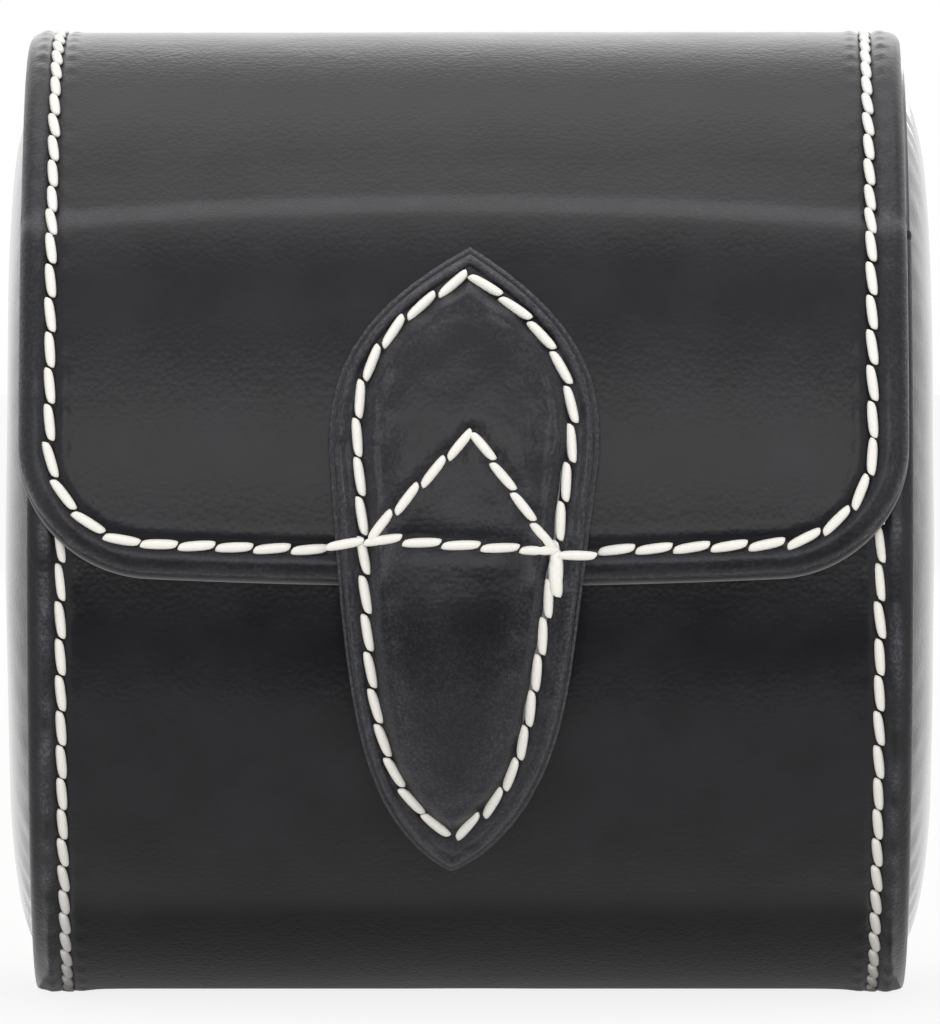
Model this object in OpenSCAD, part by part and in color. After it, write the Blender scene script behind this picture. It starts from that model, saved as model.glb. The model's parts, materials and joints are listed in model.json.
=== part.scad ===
// Single-watch travel case: a leather drum on its side, with a wrap-over flap,
// a padded closing tab with a hidden magnet, and a loose watch cushion.
//
// Frame: X runs along the drum, -Y is the front and +Z is up. The origin is on
// the floor, below the drum's axis. Sizes are millimetres. Angles run round the
// axis in degrees, from straight back (0) over the top (90) to the front (180).

/* [Drum] */
// Outer radius of the leather body
body_r = 47.3; // [44:0.1:60]
// Width of the leather body, along the drum
body_w = 86.1; // [80:0.1:120]
// Thickness of the body leather
wrap_t = 1.3; // [1:0.1:2]
// Thickness of the rolled board that keeps the drum round
board_t = 2; // [1.8:0.1:3]
// Thickness of the foam under the lining
padding_t = 3; // [1:0.1:5]
// Thickness of the suede lining
lining_t = 0.6; // [0.4:0.1:1.2]
// Depth by which the underside is pressed flat
flat_depth = 0.8; // [0.4:0.05:0.9]

/* [Mouth] */
// Front edge of the mouth, as an angle above straight front
mouth_front = 38.5; // [30:0.5:48]
// Hinge line of the flap, as an angle above straight back
hinge_rise = 45; // [35:0.5:48]
// Thickness of the leather strip on the front edge
edging_t = 1; // [0.6:0.1:2]

/* [Ends] */
// Width of the rim that stands past each end board
rim_w = 5; // [4.6:0.1:8]
// Thickness of the end leather
end_leather_t = 1; // [0.8:0.1:1.5]
// Thickness of the end boards
end_board_t = 2; // [1:0.1:2.4]
// Height of the padded dome past the rim
end_crown = 2.45; // [1:0.05:5]
// Depth of the dome's edge inside the rim
end_sink = 0.5; // [0.2:0.1:0.8]
// Amount by which the rim is cut back under the flap
rim_relief = 0.3; // [0.2:0.05:0.6]

/* [Flap] */
// Amount by which the flap stands past the body at each side
flap_overhang = 0.1; // [0:0.05:0.6]
// Distance of the flap's hem below the axis
flap_hem = 4.8; // [0:0.1:12]
// Corner radius of the flap
flap_corner = 12.5; // [8:0.1:20]
// Thickness of the flap leather
flap_leather_t = 1.2; // [1:0.1:2]
// Thickness of the flap's stiffener
flap_board_t = 0.7; // [0.4:0.1:1.2]
// Thickness of the flap lining
flap_lining_t = 0.6; // [0.4:0.1:1.2]
// Amount of lining that shows below the hem
lining_show = 0.6; // [0.2:0.1:1.2]
// Distance of the stiffener from the flap's edges
flap_board_inset = 6; // [5.5:0.1:9]
// Arc over which the flap rises from the hinge to the lid
hinge_ramp = 12; // [8:1:20]
// Arc over which the flap steps up onto the front wall
crease_ramp = 6; // [5:0.5:14]

/* [Tab] */
// Width of the tab
tab_w = 26.2; // [25:0.1:34]
// Height of the tab's upper point above the axis
tab_top = 27.7; // [22:0.1:29]
// Distance of the tab's lower point below the axis
tab_tip = 34.5; // [33:0.1:37]
// Height above the axis at which the tab is widest
tab_widest = 8; // [6:0.1:14]
// Lean of the tab, lower point to the left, in degrees
tab_lean = 1.7; // [0:0.1:4]
// Thickness of the tab's backing leather
tab_backing_t = 0.9; // [0.6:0.1:1.4]
// Thickness of the tab's foam
tab_padding_t = 1.2; // [1.1:0.1:2]
// Thickness of the tab's outer leather
tab_leather_t = 1; // [0.8:0.1:1.6]
// Thickness of the outer leather's flat margin
tab_margin_t = 1.3; // [1:0.1:1.6]
// Width of the flat margin
tab_margin = 3.4; // [3.3:0.1:4.4]
// Amount of backing that shows round the outer leather
backing_show = 0.5; // [0.2:0.1:0.8]

/* [Stitching] */
// Width of a seam
thread_w = 0.9; // [0.6:0.1:1.1]
// Depth of a seam's groove
groove_depth = 0.5; // [0.3:0.05:0.6]
// Height of the thread above the leather
thread_proud = 0.25; // [0.1:0.05:0.4]
// Distance of the side seams from the edges
side_seam = 3.3; // [2.5:0.1:3.8]
// Distance of the bottom seam from the flap's hem
hem_seam = 3.1; // [2.8:0.1:4.6]
// Distance of the tab's seam from its edge
tab_seam = 2.8; // [2:0.1:2.8]
// Half the width of the stitched triangle on the tab
triangle_half = 9.1; // [8:0.1:9.2]
// Height of the stitched triangle
triangle_h = 11; // [6:0.1:14]

/* [Catch] */
// Diameter of the magnet in the tongue
magnet_d = 6; // [4:0.5:7]
// Thickness of the magnet
magnet_t = 0.8; // [0.5:0.05:0.8]
// Diameter of the steel plate in the body
plate_d = 10; // [8:0.5:12]
// Thickness of the plate
plate_t = 1.2; // [0.8:0.1:1.3]
// Distance of the catch below the axis
catch_drop = 19; // [16:0.5:20]

/* [Cushion] */
// Length of the cushion, along the drum
cushion_len = 68; // [50:0.5:70]
// Depth of the cushion, front to back
cushion_d = 54; // [44:0.5:55]
// Height of the cushion
cushion_h = 50; // [40:0.5:56]
// Corner radius of the cushion
cushion_corner = 20; // [16:0.5:20]
// Thickness of the cushion's cover
cover_t = 0.8; // [0.5:0.1:1.5]

/* [Clearances] */
// Gap between the flap and what it closes on
flap_gap = 0.3; // [0.2:0.05:0.6]
// Gap between the tongue's point and the body
tongue_gap = 0.4; // [0.3:0.05:0.8]
// Gap across each leather hinge line
hinge_gap = 0.3; // [0.2:0.05:0.5]
// Gap between the cushion and the lining
cushion_gap = 0.4; // [0.3:0.05:1]
// Gap round the magnet and the plate
catch_gap = 0.1; // [0.05:0.05:0.3]

/* [Hidden] */
$fn = 144;

leather_black = "#1e1d1f";
suede_grey = "#3a383b";
board_grey = "#8a8378";
foam_grey = "#6f7276";
thread_cream = "#efeae0";
steel_grey = "#9a9da1";

// The layers of the drum, from the outside in
axis_h = body_r - flat_depth;
board_r = body_r - wrap_t;
padding_r = board_r - board_t;
lining_r = padding_r - padding_t;
inner_r = lining_r - lining_t;
tube_half = body_w / 2 - rim_w;

// The mouth, as angles round the axis
straight_front = 180;
full_turn = 360;
hinge_a = hinge_rise;
mouth_a = straight_front - mouth_front;
hinge_half_a = asin(hinge_gap / 2 / body_r);
edging_a = asin(edging_t / body_r);
wall_start = mouth_a + edging_a;
wall_end = full_turn + hinge_a - hinge_half_a;

// The ends
end_r = board_r - end_leather_t;
rim_r = board_r - rim_relief;
dome_sag = end_crown + end_sink;
dome_r = (end_r * end_r + dome_sag * dome_sag) / (2 * dome_sag);
dome_x = body_w / 2 + end_crown - dome_r;
dome_steps = 1440;

// The flap's width, and its outer surface over the lid and over the front wall
flap_w = body_w + 2 * flap_overhang;
flap_t = flap_leather_t + flap_board_t + flap_lining_t;
lid_r = rim_r + flap_gap + flap_t;
front_r = body_r + flap_gap + flap_t;
hem_z = -flap_hem;
lid_a = hinge_a + hinge_ramp;
flap_end_a = 200;
crease_a = mouth_a - crease_ramp;
flap_steps = 66;

// The tab's layers, from the flap out
backing_r = front_r + tab_backing_t;
tab_r = backing_r + tab_padding_t + tab_leather_t;
margin_r = backing_r + tab_margin_t;
tab_top_a = 120;
tab_end_a = 240;
tab_steps = 10;
// How full the tab's outline is towards its two points, and how its long end tapers
top_fullness = 2.6;
tip_fullness = 3.8;
tip_point = 0.8;
tip_taper = 0.18;
// A seam that follows the outline is this much further from a point than from a side
point_inset = 1.4;

// The tongue leans in from the hem until its point meets the body
tongue_span = asin(tab_tip / front_r) - asin(flap_hem / front_r);
tongue_lean = asin((front_r - body_r - tongue_gap) / (front_r * sin(tongue_span)));
hem_y = -sqrt(front_r * front_r - hem_z * hem_z);
catch_a = 180 + asin(catch_drop / front_r);

// The plate lies under the leather with its rim inside the round of the board
plate_top = sqrt(board_r * board_r - plate_d * plate_d / 4) - catch_gap;
plate_seat = plate_top - plate_t;

// The cushion's corners rest in the round of the lining
corner_seat = inner_r - cushion_gap - cushion_corner;
corner_y = cushion_d / 2 - cushion_corner;
cushion_base = -cushion_corner - sqrt(corner_seat * corner_seat - corner_y * corner_y);

// Room that cuts take past what they cut
over = 1;

function ease(t) = let (u = max(0, min(1, t))) u * u * (3 - 2 * u);

// Radius of the flap's outer surface at an angle round the axis
function flap_r(a) =
    body_r
    + (lid_r - body_r) * ease((a - hinge_a) / hinge_ramp)
    + (front_r - lid_r) * ease((a - crease_a) / crease_ramp);

function polar(r, a) = [r * cos(a), r * sin(a)];

// Share of the tab's width at a share t of the way from its widest line to a point
function tab_share(t, lower) = lower
    ? (1 - tip_taper * t) * pow(1 - pow(t, tip_fullness), tip_point)
    : 1 - pow(t, top_fullness);

// One side of the tab's outline, from the lower point to the upper one
function tab_side(side, inset) = [
    for (i = [-tab_steps : tab_steps])
        let (
            t = sin(90 * abs(i) / tab_steps),
            reach = (i < 0 ? tab_widest + tab_tip : tab_top - tab_widest) - inset * point_inset,
            z = tab_widest + (i < 0 ? -reach : reach) * t
        )
        [side * (tab_w / 2 - inset) * tab_share(t, i < 0), z]
];

// Places a shape drawn across the drum, in depth and height from the axis
module across(w) {
    translate([0, 0, axis_h]) rotate([90, 0, 90])
        translate([0, 0, -w / 2]) linear_extrude(w) children();
}

// Places a shape drawn as the front view shows it, in width and height from the axis
module from_front(back = 0) {
    translate([0, back, axis_h]) rotate([90, 0, 0]) linear_extrude(back + 2 * body_r) children();
}

// A ring round the axis, or a stretch of one from a0 to a1
module ring(r0, r1, x0, x1, a0 = 0, a1 = 360) {
    translate([0, 0, axis_h]) rotate([90, 0, 90])
        rotate_extrude(angle = a1 - a0, start = a0)
            translate([r0, x0]) square([r1 - r0, x1 - x0]);
}

// A disc along a radius at an angle round the axis, from r0 out to r1
module radial_disc(d, r0, r1, a) {
    translate([0, 0, axis_h]) rotate([a - 90, 0, 0])
        translate([0, 0, r0]) cylinder(h = r1 - r0, d = d);
}

// Repeats a right-hand piece on the side asked for
module on_side(side) {
    mirror([side < 0 ? 1 : 0, 0, 0]) children();
}

// Cuts away what would stand below the floor
module above_floor() {
    difference() {
        children();
        translate([-body_w, -body_r, -2 * body_r]) cube([2 * body_w, 2 * body_r, 2 * body_r]);
    }
}

// A plate with two rounded lower corners, as the front view shows the flap
module flap_outline(inset, hem, corner) {
    half = flap_w / 2 - inset;
    translate([-half, hem + corner]) square([2 * half, 2 * body_r]);
    translate([corner - half, hem]) square([2 * (half - corner), corner + over]);
    for (side = [-1, 1])
        translate([side * (half - corner), hem + corner]) circle(corner);
}

// The flap's material between two depths below its outer surface, from an angle on
module flap_layer(d0, d1, a0 = lid_a) {
    step = (flap_end_a - a0) / flap_steps;
    across(flap_w + 2 * over) polygon(concat(
        [for (i = [0 : flap_steps]) polar(flap_r(a0 + i * step) - d0, a0 + i * step)],
        [for (i = [flap_steps : -1 : 0]) polar(flap_r(a0 + i * step) - d1, a0 + i * step)]
    ));
}

module tab_outline(inset = 0) {
    left = tab_side(-1, inset);
    right = tab_side(1, inset);
    rotate(-tab_lean) polygon(concat(
        right, [for (i = [2 * tab_steps - 1 : -1 : 1]) left[i]]
    ));
}

// The tab above or below the flap's hem, as the front view shows it
module tab_half(lower) {
    intersection() {
        children();
        translate([-tab_w, lower ? hem_z - hinge_gap - 2 * body_r : hem_z])
            square([2 * tab_w, 2 * body_r]);
    }
}

// A stretch of the tab's cylinder between two radii, cut to a front view
module tab_shell(r0, r1) {
    intersection() {
        ring(r0, r1, -tab_w, tab_w, tab_top_a, tab_end_a);
        from_front() children();
    }
}

// Tips the free tongue in about the flap's hem
module leaning() {
    translate([0, hem_y, axis_h + hem_z]) rotate([tongue_lean, 0, 0])
        translate([0, -hem_y, -axis_h - hem_z]) children();
}

// The seam that runs down one side of the flap, along its hem and up the other
module flap_seam_line() {
    half = thread_w / 2;
    difference() {
        flap_outline(side_seam - half, hem_z + hem_seam - half, flap_corner - side_seam + half);
        flap_outline(side_seam + half, hem_z + hem_seam + half, flap_corner - side_seam - half);
        tab_outline(-catch_gap);
    }
}

// The seam that follows the tab's edge
module tab_edge_line() {
    difference() {
        tab_outline(tab_seam - thread_w / 2);
        tab_outline(tab_seam + thread_w / 2);
    }
}

module seam_bar(from, to) {
    run = to - from;
    translate(from) rotate(atan2(run[1], run[0])) translate([0, -thread_w / 2])
        square([norm(run), thread_w]);
}

// The triangle that holds the tab to the flap, with its base on the flap's bottom seam
module triangle_line() {
    base_z = hem_z + hem_seam;
    apex = [0, base_z + triangle_h];
    intersection() {
        union() {
            seam_bar([-triangle_half, base_z], apex);
            seam_bar([triangle_half, base_z], apex);
            seam_bar([-triangle_half, base_z], [triangle_half, base_z]);
        }
        tab_outline(tab_margin);
    }
}

module tab_backing(lower) {
    color(leather_black) tab_shell(front_r, backing_r) tab_half(lower) tab_outline();
}

module tab_padding(lower) {
    color(foam_grey) tab_shell(backing_r, backing_r + tab_padding_t)
        tab_half(lower) tab_outline(tab_margin + tab_leather_t);
}

module tab_leather(lower) {
    color(leather_black) difference() {
        union() {
            tab_shell(backing_r, margin_r) tab_half(lower) tab_outline(backing_show);
            tab_shell(backing_r, tab_r) tab_half(lower) tab_outline(tab_margin);
        }
        tab_shell(backing_r - over, backing_r + tab_padding_t)
            tab_outline(tab_margin + tab_leather_t);
        tab_shell(margin_r - groove_depth, tab_r + over) tab_edge_line();
        tab_shell(tab_r - groove_depth, tab_r + over) triangle_line();
    }
}

module tab_thread(lower) {
    color(thread_cream) {
        tab_shell(margin_r - groove_depth, margin_r + thread_proud)
            tab_half(lower) tab_edge_line();
        if (!lower)
            tab_shell(tab_r - groove_depth, tab_r + thread_proud) triangle_line();
    }
}

// The cushion's section, in depth and height from the axis
module cushion_section(inset = 0) {
    r = cushion_corner - inset;
    translate([0, cushion_base + cushion_h / 2]) union() {
        square([cushion_d - 2 * inset, cushion_h - 2 * cushion_corner], center = true);
        square([cushion_d - 2 * cushion_corner, cushion_h - 2 * inset], center = true);
        for (y = [-1, 1], z = [-1, 1])
            translate([y * corner_y, z * (cushion_h / 2 - cushion_corner)]) circle(r);
    }
}

module drum_board() {
    color(board_grey) difference() {
        ring(padding_r, board_r, -tube_half, tube_half, wall_start, wall_end);
        radial_disc(plate_d + 2 * catch_gap, plate_seat - catch_gap, body_r, catch_a);
    }
}

module drum_padding() {
    color(foam_grey) ring(lining_r, padding_r, -tube_half, tube_half, wall_start, wall_end);
}

module drum_lining() {
    color(suede_grey) ring(inner_r, lining_r, -tube_half, tube_half, wall_start, wall_end);
}

module body_wrap() {
    color(leather_black) above_floor() difference() {
        ring(board_r, body_r, -body_w / 2, body_w / 2, wall_start, wall_end);
        body_seams(body_r + over);
    }
}

module mouth_edging() {
    color(leather_black) {
        ring(inner_r, board_r, -tube_half, tube_half, mouth_a, wall_start);
        ring(board_r, body_r, -body_w / 2, body_w / 2, mouth_a, wall_start);
    }
}

// The two seams round the body, from the bottom of their groove out to r1
module body_seams(r1) {
    for (side = [-1, 1]) {
        seam_x = side * (body_w / 2 - side_seam);
        ring(body_r - groove_depth, r1, seam_x - thread_w / 2, seam_x + thread_w / 2,
            wall_start, wall_end);
    }
}

module body_seam_thread() {
    color(thread_cream) above_floor() body_seams(body_r);
}

module catch_plate() {
    color(steel_grey) radial_disc(plate_d, plate_seat, plate_top, catch_a);
}

module end_board(side) {
    color(board_grey) on_side(side) ring(0, end_r, tube_half, tube_half + end_board_t);
}

// The round block whose outer face is the dome less a thickness
module dome_block(r, less) {
    translate([0, 0, axis_h]) rotate([90, 0, 90]) rotate_extrude() intersection() {
        translate([0, tube_half + end_board_t]) square([r, 2 * dome_sag + end_leather_t + over]);
        translate([0, dome_x]) circle(dome_r - less, $fn = dome_steps);
    }
}

module end_padding(side) {
    color(foam_grey) on_side(side) dome_block(end_r, end_leather_t);
}

module end_panel(side) {
    color(leather_black) on_side(side) difference() {
        union() {
            difference() {
                dome_block(end_r, 0);
                dome_block(end_r + over, end_leather_t);
            }
            ring(end_r, board_r, tube_half, body_w / 2);
        }
        ring(rim_r, body_r, tube_half - over, body_w / 2 + over, hinge_a - hinge_half_a, wall_start);
    }
}

module end_lining(side) {
    color(suede_grey) on_side(side) {
        ring(0, inner_r, tube_half - lining_t, tube_half);
        ring(0, end_r, tube_half - lining_t, tube_half, hinge_a, mouth_a);
    }
}

module flap_leather() {
    color(leather_black) difference() {
        intersection() {
            union() {
                flap_layer(0, flap_leather_t, hinge_a + hinge_half_a);
                flap_layer(0, flap_leather_t + flap_board_t);
            }
            from_front(2 * body_r) flap_outline(0, hem_z, flap_corner);
        }
        flap_board_block(flap_t);
        intersection() {
            flap_layer(-over, groove_depth);
            from_front(2 * body_r) flap_seam_line();
        }
    }
}

// The stiffener, reaching in to a depth below the flap's outer surface
module flap_board_block(depth) {
    intersection() {
        flap_layer(flap_leather_t, depth);
        from_front(2 * body_r)
            flap_outline(flap_board_inset, hem_z + flap_board_inset, flap_corner - flap_board_inset);
    }
}

module flap_board() {
    color(board_grey) flap_board_block(flap_leather_t + flap_board_t);
}

module flap_lining() {
    color(suede_grey) intersection() {
        flap_layer(flap_leather_t + flap_board_t, flap_t);
        from_front(2 * body_r) flap_outline(0, hem_z - lining_show, flap_corner);
    }
}

module flap_seam_thread() {
    color(thread_cream) intersection() {
        flap_layer(-thread_proud, groove_depth);
        from_front(2 * body_r) flap_seam_line();
    }
}

module tongue_padding() {
    leaning() difference() {
        tab_padding(true);
        radial_disc(magnet_d + 2 * catch_gap, front_r, tab_r, catch_a);
    }
}

module catch_magnet() {
    middle = backing_r + tab_padding_t / 2;
    color(steel_grey) leaning()
        radial_disc(magnet_d, middle - magnet_t / 2, middle + magnet_t / 2, catch_a);
}

module cushion_core() {
    color(foam_grey) across(cushion_len - 2 * cover_t) cushion_section(cover_t);
}

module cushion_cover() {
    color(suede_grey) across(cushion_len - 2 * cover_t) difference() {
        cushion_section();
        cushion_section(cover_t);
    }
}

module cushion_end(side) {
    color(suede_grey) translate([side * (cushion_len - cover_t) / 2, 0, 0])
        across(cover_t) cushion_section();
}

drum_board();
drum_padding();
drum_lining();
body_wrap();
mouth_edging();
end_board(-1);  // end_board_left
end_board(1);  // end_board_right
end_padding(-1);  // end_padding_left
end_padding(1);  // end_padding_right
end_panel(-1);  // end_panel_left
end_panel(1);  // end_panel_right
end_lining(-1);  // end_lining_left
end_lining(1);  // end_lining_right
body_seam_thread();
catch_plate();
flap_leather();
flap_board();
flap_lining();
flap_seam_thread();
tab_leather(false);  // tab_leather_upper
tab_padding(false);  // tab_padding_upper
tab_backing(false);  // tab_backing_upper
tab_thread(false);  // tab_seam_thread_upper
leaning() tab_leather(true);  // tongue_leather
tongue_padding();
leaning() tab_backing(true);  // tongue_backing
leaning() tab_thread(true);  // tongue_seam_thread
catch_magnet();
cushion_core();
cushion_cover();
cushion_end(-1);  // cushion_end_left
cushion_end(1);  // cushion_end_right
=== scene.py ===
"""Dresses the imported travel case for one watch: leather, suede, thread, board, foam and steel.

Lengths are metres and angles are degrees round the drum's axis, from straight back (0) over the
top (90) to straight front (180). X runs along the drum, -Y is the front and +Z is up.
"""

import json
import math

import bmesh
import bpy
import numpy as np
from bpy.props import FloatProperty, FloatVectorProperty, IntProperty, PointerProperty
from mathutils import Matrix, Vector, kdtree, noise


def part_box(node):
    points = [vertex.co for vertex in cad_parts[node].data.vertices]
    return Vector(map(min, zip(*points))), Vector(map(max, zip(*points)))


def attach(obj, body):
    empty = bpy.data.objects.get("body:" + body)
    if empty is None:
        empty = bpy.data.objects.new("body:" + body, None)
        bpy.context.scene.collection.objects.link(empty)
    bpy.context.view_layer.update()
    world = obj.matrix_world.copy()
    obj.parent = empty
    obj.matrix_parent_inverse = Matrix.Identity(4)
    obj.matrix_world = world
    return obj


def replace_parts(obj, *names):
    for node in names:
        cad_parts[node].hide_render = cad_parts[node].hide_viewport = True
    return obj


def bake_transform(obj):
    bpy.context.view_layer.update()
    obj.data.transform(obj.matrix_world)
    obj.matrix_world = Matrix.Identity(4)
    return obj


bl_info = {
    "name": "Watch travel case",
    "version": (1, 0, 0),
    "blender": (4, 5, 0),
    "location": "View3D > Sidebar > Watch case",
    "description": "Dresses a travel case for one watch in stitched leather and suede",
    "category": "Object",
}

MM = 0.001
TINY = 1e-9
WHITE = (1.0, 1.0, 1.0)

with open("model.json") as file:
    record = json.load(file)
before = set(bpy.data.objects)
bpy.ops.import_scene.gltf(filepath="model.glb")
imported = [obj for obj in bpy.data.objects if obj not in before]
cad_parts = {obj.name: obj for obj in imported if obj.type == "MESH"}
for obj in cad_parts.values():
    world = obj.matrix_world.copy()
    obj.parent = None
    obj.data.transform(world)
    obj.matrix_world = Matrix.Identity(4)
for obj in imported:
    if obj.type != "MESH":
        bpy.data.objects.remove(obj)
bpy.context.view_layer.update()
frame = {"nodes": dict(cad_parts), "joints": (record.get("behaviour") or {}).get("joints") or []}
JOINTS = {joint["name"]: joint for joint in frame["joints"]}


def low(node):
    """A node's lowest corner."""
    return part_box(node)[0]


def high(node):
    """A node's highest corner."""
    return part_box(node)[1]


def half_depth(node):
    """Half the size of a node from front to back."""
    return (high(node).y - low(node).y) / 2


# The drum, as the frame gives it
LINING_R = half_depth("drum_lining")
BOARD_R = half_depth("drum_board")
BODY_R = half_depth("body_wrap")
AXIS_Z = low("drum_lining").z + LINING_R
BODY_HALF = high("body_wrap").x
TUBE_HALF = high("drum_lining").x
END_APEX = high("end_panel_right").x
END_R = half_depth("end_board_right")
LID_SEAT_R = high("end_panel_right").z - AXIS_Z
INNER_HALF = low("end_lining_right").x
MOUTH_A = 180 - math.degrees(math.asin((high("mouth_edging").z - AXIS_Z) / BODY_R))
HINGE = Vector(JOINTS["flap_hinge"]["pos_m"])
HINGE_A = math.degrees(math.atan2(HINGE.z - AXIS_Z, HINGE.y))
HINGE_GAP_A = 0.18  # what the leathers leave free on each side of the hinge line

# The flap and its tab
FLAP_HALF = high("flap_leather").x
LID_R = high("flap_leather").z - AXIS_Z
FRONT_R = -low("flap_leather").y
LINING_DEPTH = FRONT_R + low("flap_lining").y
HEM_DROP = AXIS_Z - low("flap_leather").z
HEM_SHOW = low("flap_leather").z - low("flap_lining").z
HEM_Y = -math.sqrt(FRONT_R**2 - HEM_DROP**2)
HEM_A = 180 + math.degrees(math.asin(HEM_DROP / FRONT_R))
FLAP_REACH = math.radians(HEM_A - HINGE_A - HINGE_GAP_A) * FRONT_R
BACKING_R = -low("tab_backing_upper").y
BACKING_THICKNESS = BACKING_R - FRONT_R

CUSHION_NODES = ("cushion_cover", "cushion_end_left", "cushion_end_right")


def length(name, description, value):
    """A size in metres."""
    return FloatProperty(
        name=name, description=description, default=value, min=0, unit="LENGTH"
    )


def angle(name, description, degrees):
    """An angle, given in degrees and kept in radians."""
    return FloatProperty(
        name=name, description=description, default=math.radians(degrees), subtype="ANGLE"
    )


def plain(name, description, value, low_limit=0.0, high_limit=1000.0):
    """A number without a unit."""
    return FloatProperty(
        name=name, description=description, default=value, min=low_limit, max=high_limit
    )


def srgb(code):
    """The linear colour of an sRGB hex code."""
    parts = [int(code[i : i + 2], 16) / 255 for i in (1, 3, 5)]
    return [c / 12.92 if c <= 0.04045 else ((c + 0.055) / 1.055) ** 2.4 for c in parts]


def colour(name, description, code):
    """A colour, given as an sRGB hex code."""
    return FloatVectorProperty(
        name=name, description=description, default=srgb(code), subtype="COLOR", min=0, max=1
    )


class DrumSizes(bpy.types.PropertyGroup):
    """Sizes of the drum's leather and suede."""

    wrap_thickness: length("Body leather", "Thickness of the body leather", 1.3 * MM)
    rim_rounding: length("Rim rounding", "Radius to which the rims are rolled over", 1.3 * MM)
    end_rounding: length("End rounding", "Rounding where the body leather ends", 0.4 * MM)
    seam_inset: length("Body seam", "Distance of the body seams from the rims", 3.3 * MM)
    bottom_lift: length("Bottom lift", "Rise of the underside between its two seams", 0.35 * MM)
    panel_thickness: length("End leather", "Thickness of the end leather", 1.0 * MM)
    valley_depth: length("Rim valley", "Depth of the valley inside each rim", 0.9 * MM)
    pillow_power: plain("Pillow fullness", "How far out the domed ends stay full", 9.0, 1.5)
    rim_pucker: length("Rim pucker", "Height of the wavy ridge outside each body seam", 0.34 * MM)
    suede_thickness: length("Suede", "Thickness of the lining", 0.6 * MM)
    edging_width: length("Mouth edging", "Width of the strip on the mouth's front edge", 1.0 * MM)


class FlapSizes(bpy.types.PropertyGroup):
    """Sizes of the flap."""

    leather: length("Flap leather", "Thickness of the outer leather over the board", 1.2 * MM)
    hem_rounding: length("Edge rounding", "Radius of the flap's turned edge", 1.25 * MM)
    corner: length("Corner radius", "Radius of the flap's lower corners", 12.5 * MM)
    side_seam: length("Side seam", "Distance of the side seams from the edges", 3.3 * MM)
    hem_seam: length("Hem seam", "Distance of the bottom seam from the hem", 3.1 * MM)
    seam_drift: length("Seam drift", "How far left of the flap's middle the seam is", 0.25 * MM)
    board_inset: length("Board inset", "Distance of the stiffener from the edges", 6.0 * MM)
    hem_rise: length("Hem rise", "Rise of the hem from its middle to its corners", 1.5 * MM)
    drift: length("Drift", "How far the sewn flap sits to the left at the front", 0.62 * MM)
    hinge_ramp: angle("Hinge ramp", "Arc over which the flap rises onto the lid", 12)
    step_ramp: angle("Step", "Arc of the stiffener's step onto the front wall", 6)
    crease_ramp: angle("Crease", "Arc over which the leather creases at the mouth", 4.5)
    crease_share: plain("Crease depth", "Share of the step that the crease takes", 0.55, 0, 1)
    crease_low: angle("Crease ends", "How far the crease drops past the mouth at the sides", 1.4)
    crease_bow: angle("Crease bow", "How far the crease is bowed up in the middle", 2.7)
    crease_swell: length("Crease swell", "Height of the soft ridge below the crease", 0.3 * MM)
    bend_length: length("Hinge length", "Length of leather that bends at the hinge", 8.0 * MM)


class TabSizes(bpy.types.PropertyGroup):
    """Sizes of the closing tab."""

    width: length("Tab width", "Width of the tab", 26.2 * MM)
    top: length("Upper point", "Height of the upper point above the axis", 27.7 * MM)
    tip: length("Lower point", "Distance of the lower point below the axis", 34.5 * MM)
    widest: length("Widest", "Height above the axis where the tab is widest", 8.0 * MM)
    lean: angle("Lean", "Lean of the tab, lower point to the left", 1.75)
    drift: length("Drift", "How far the tab is off the case's middle, to the left", 0.82 * MM)
    belly: length("Belly", "How far the tab's lower half bulges to the right", 0.27 * MM)
    backing_show: length("Backing", "Amount of backing that shows round the leather", 0.5 * MM)
    margin: length("Margin", "Thickness of the leather's margin", 1.3 * MM)
    seam_width: length("Seam width", "Distance between the tab's two side seams", 20.8 * MM)
    seam_top: length("Seam top", "Height above the axis where the seams meet", 25.0 * MM)
    seam_tip: length("Seam tip", "Distance below the axis where the seams meet", 30.1 * MM)
    seam_widest: length("Seam widest", "Height above the axis of their widest place", 9.5 * MM)
    seam_drift: length("Seam drift", "How far left of the middle the lower seams are", 0.6 * MM)
    puff: length("Puff", "Height of the padded middle above the margin", 1.25 * MM)
    tongue_puff: length("Tongue puff", "How much fuller the tongue's middle is", 0.7 * MM)
    crumple: length("Crumple", "Height of the small wrinkles beside the tab's seam", 0.3 * MM)
    triangle_half: length("Triangle width", "Half the width of the stitched triangle", 9.1 * MM)
    triangle_height: length("Triangle height", "Height of the stitched triangle", 11.0 * MM)
    bend_length: length("Bend length", "Length of leather that bends at the hem", 4.0 * MM)


class StitchSizes(bpy.types.PropertyGroup):
    """Sizes of the hand stitching."""

    pitch: length("Pitch", "Distance from one needle hole to the next", 3.75 * MM)
    thread: length("Thread width", "Width of a stitch", 1.0 * MM)
    height: length("Thread height", "Height of a stitch", 0.8 * MM)
    share: plain("Stitch length", "Stitch length as a share of the pitch", 0.99, 0.3)
    slant: angle("Slant", "Turn of each stitch off the seam's line", 5.5)
    scatter: angle("Scatter", "Random turn of each stitch", 2.5)
    seed: IntProperty(name="Seed", description="Seed of the random turns", default=4)
    groove: length("Groove", "Depth of the groove that a seam pulls in", 0.42 * MM)
    groove_width: length("Groove width", "Half width of that groove", 0.62 * MM)
    pucker: length("Pucker", "Height of the leather that swells beside a stitch", 0.14 * MM)
    pucker_reach: length("Pucker reach", "Distance of that swelling from the seam", 1.45 * MM)


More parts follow.
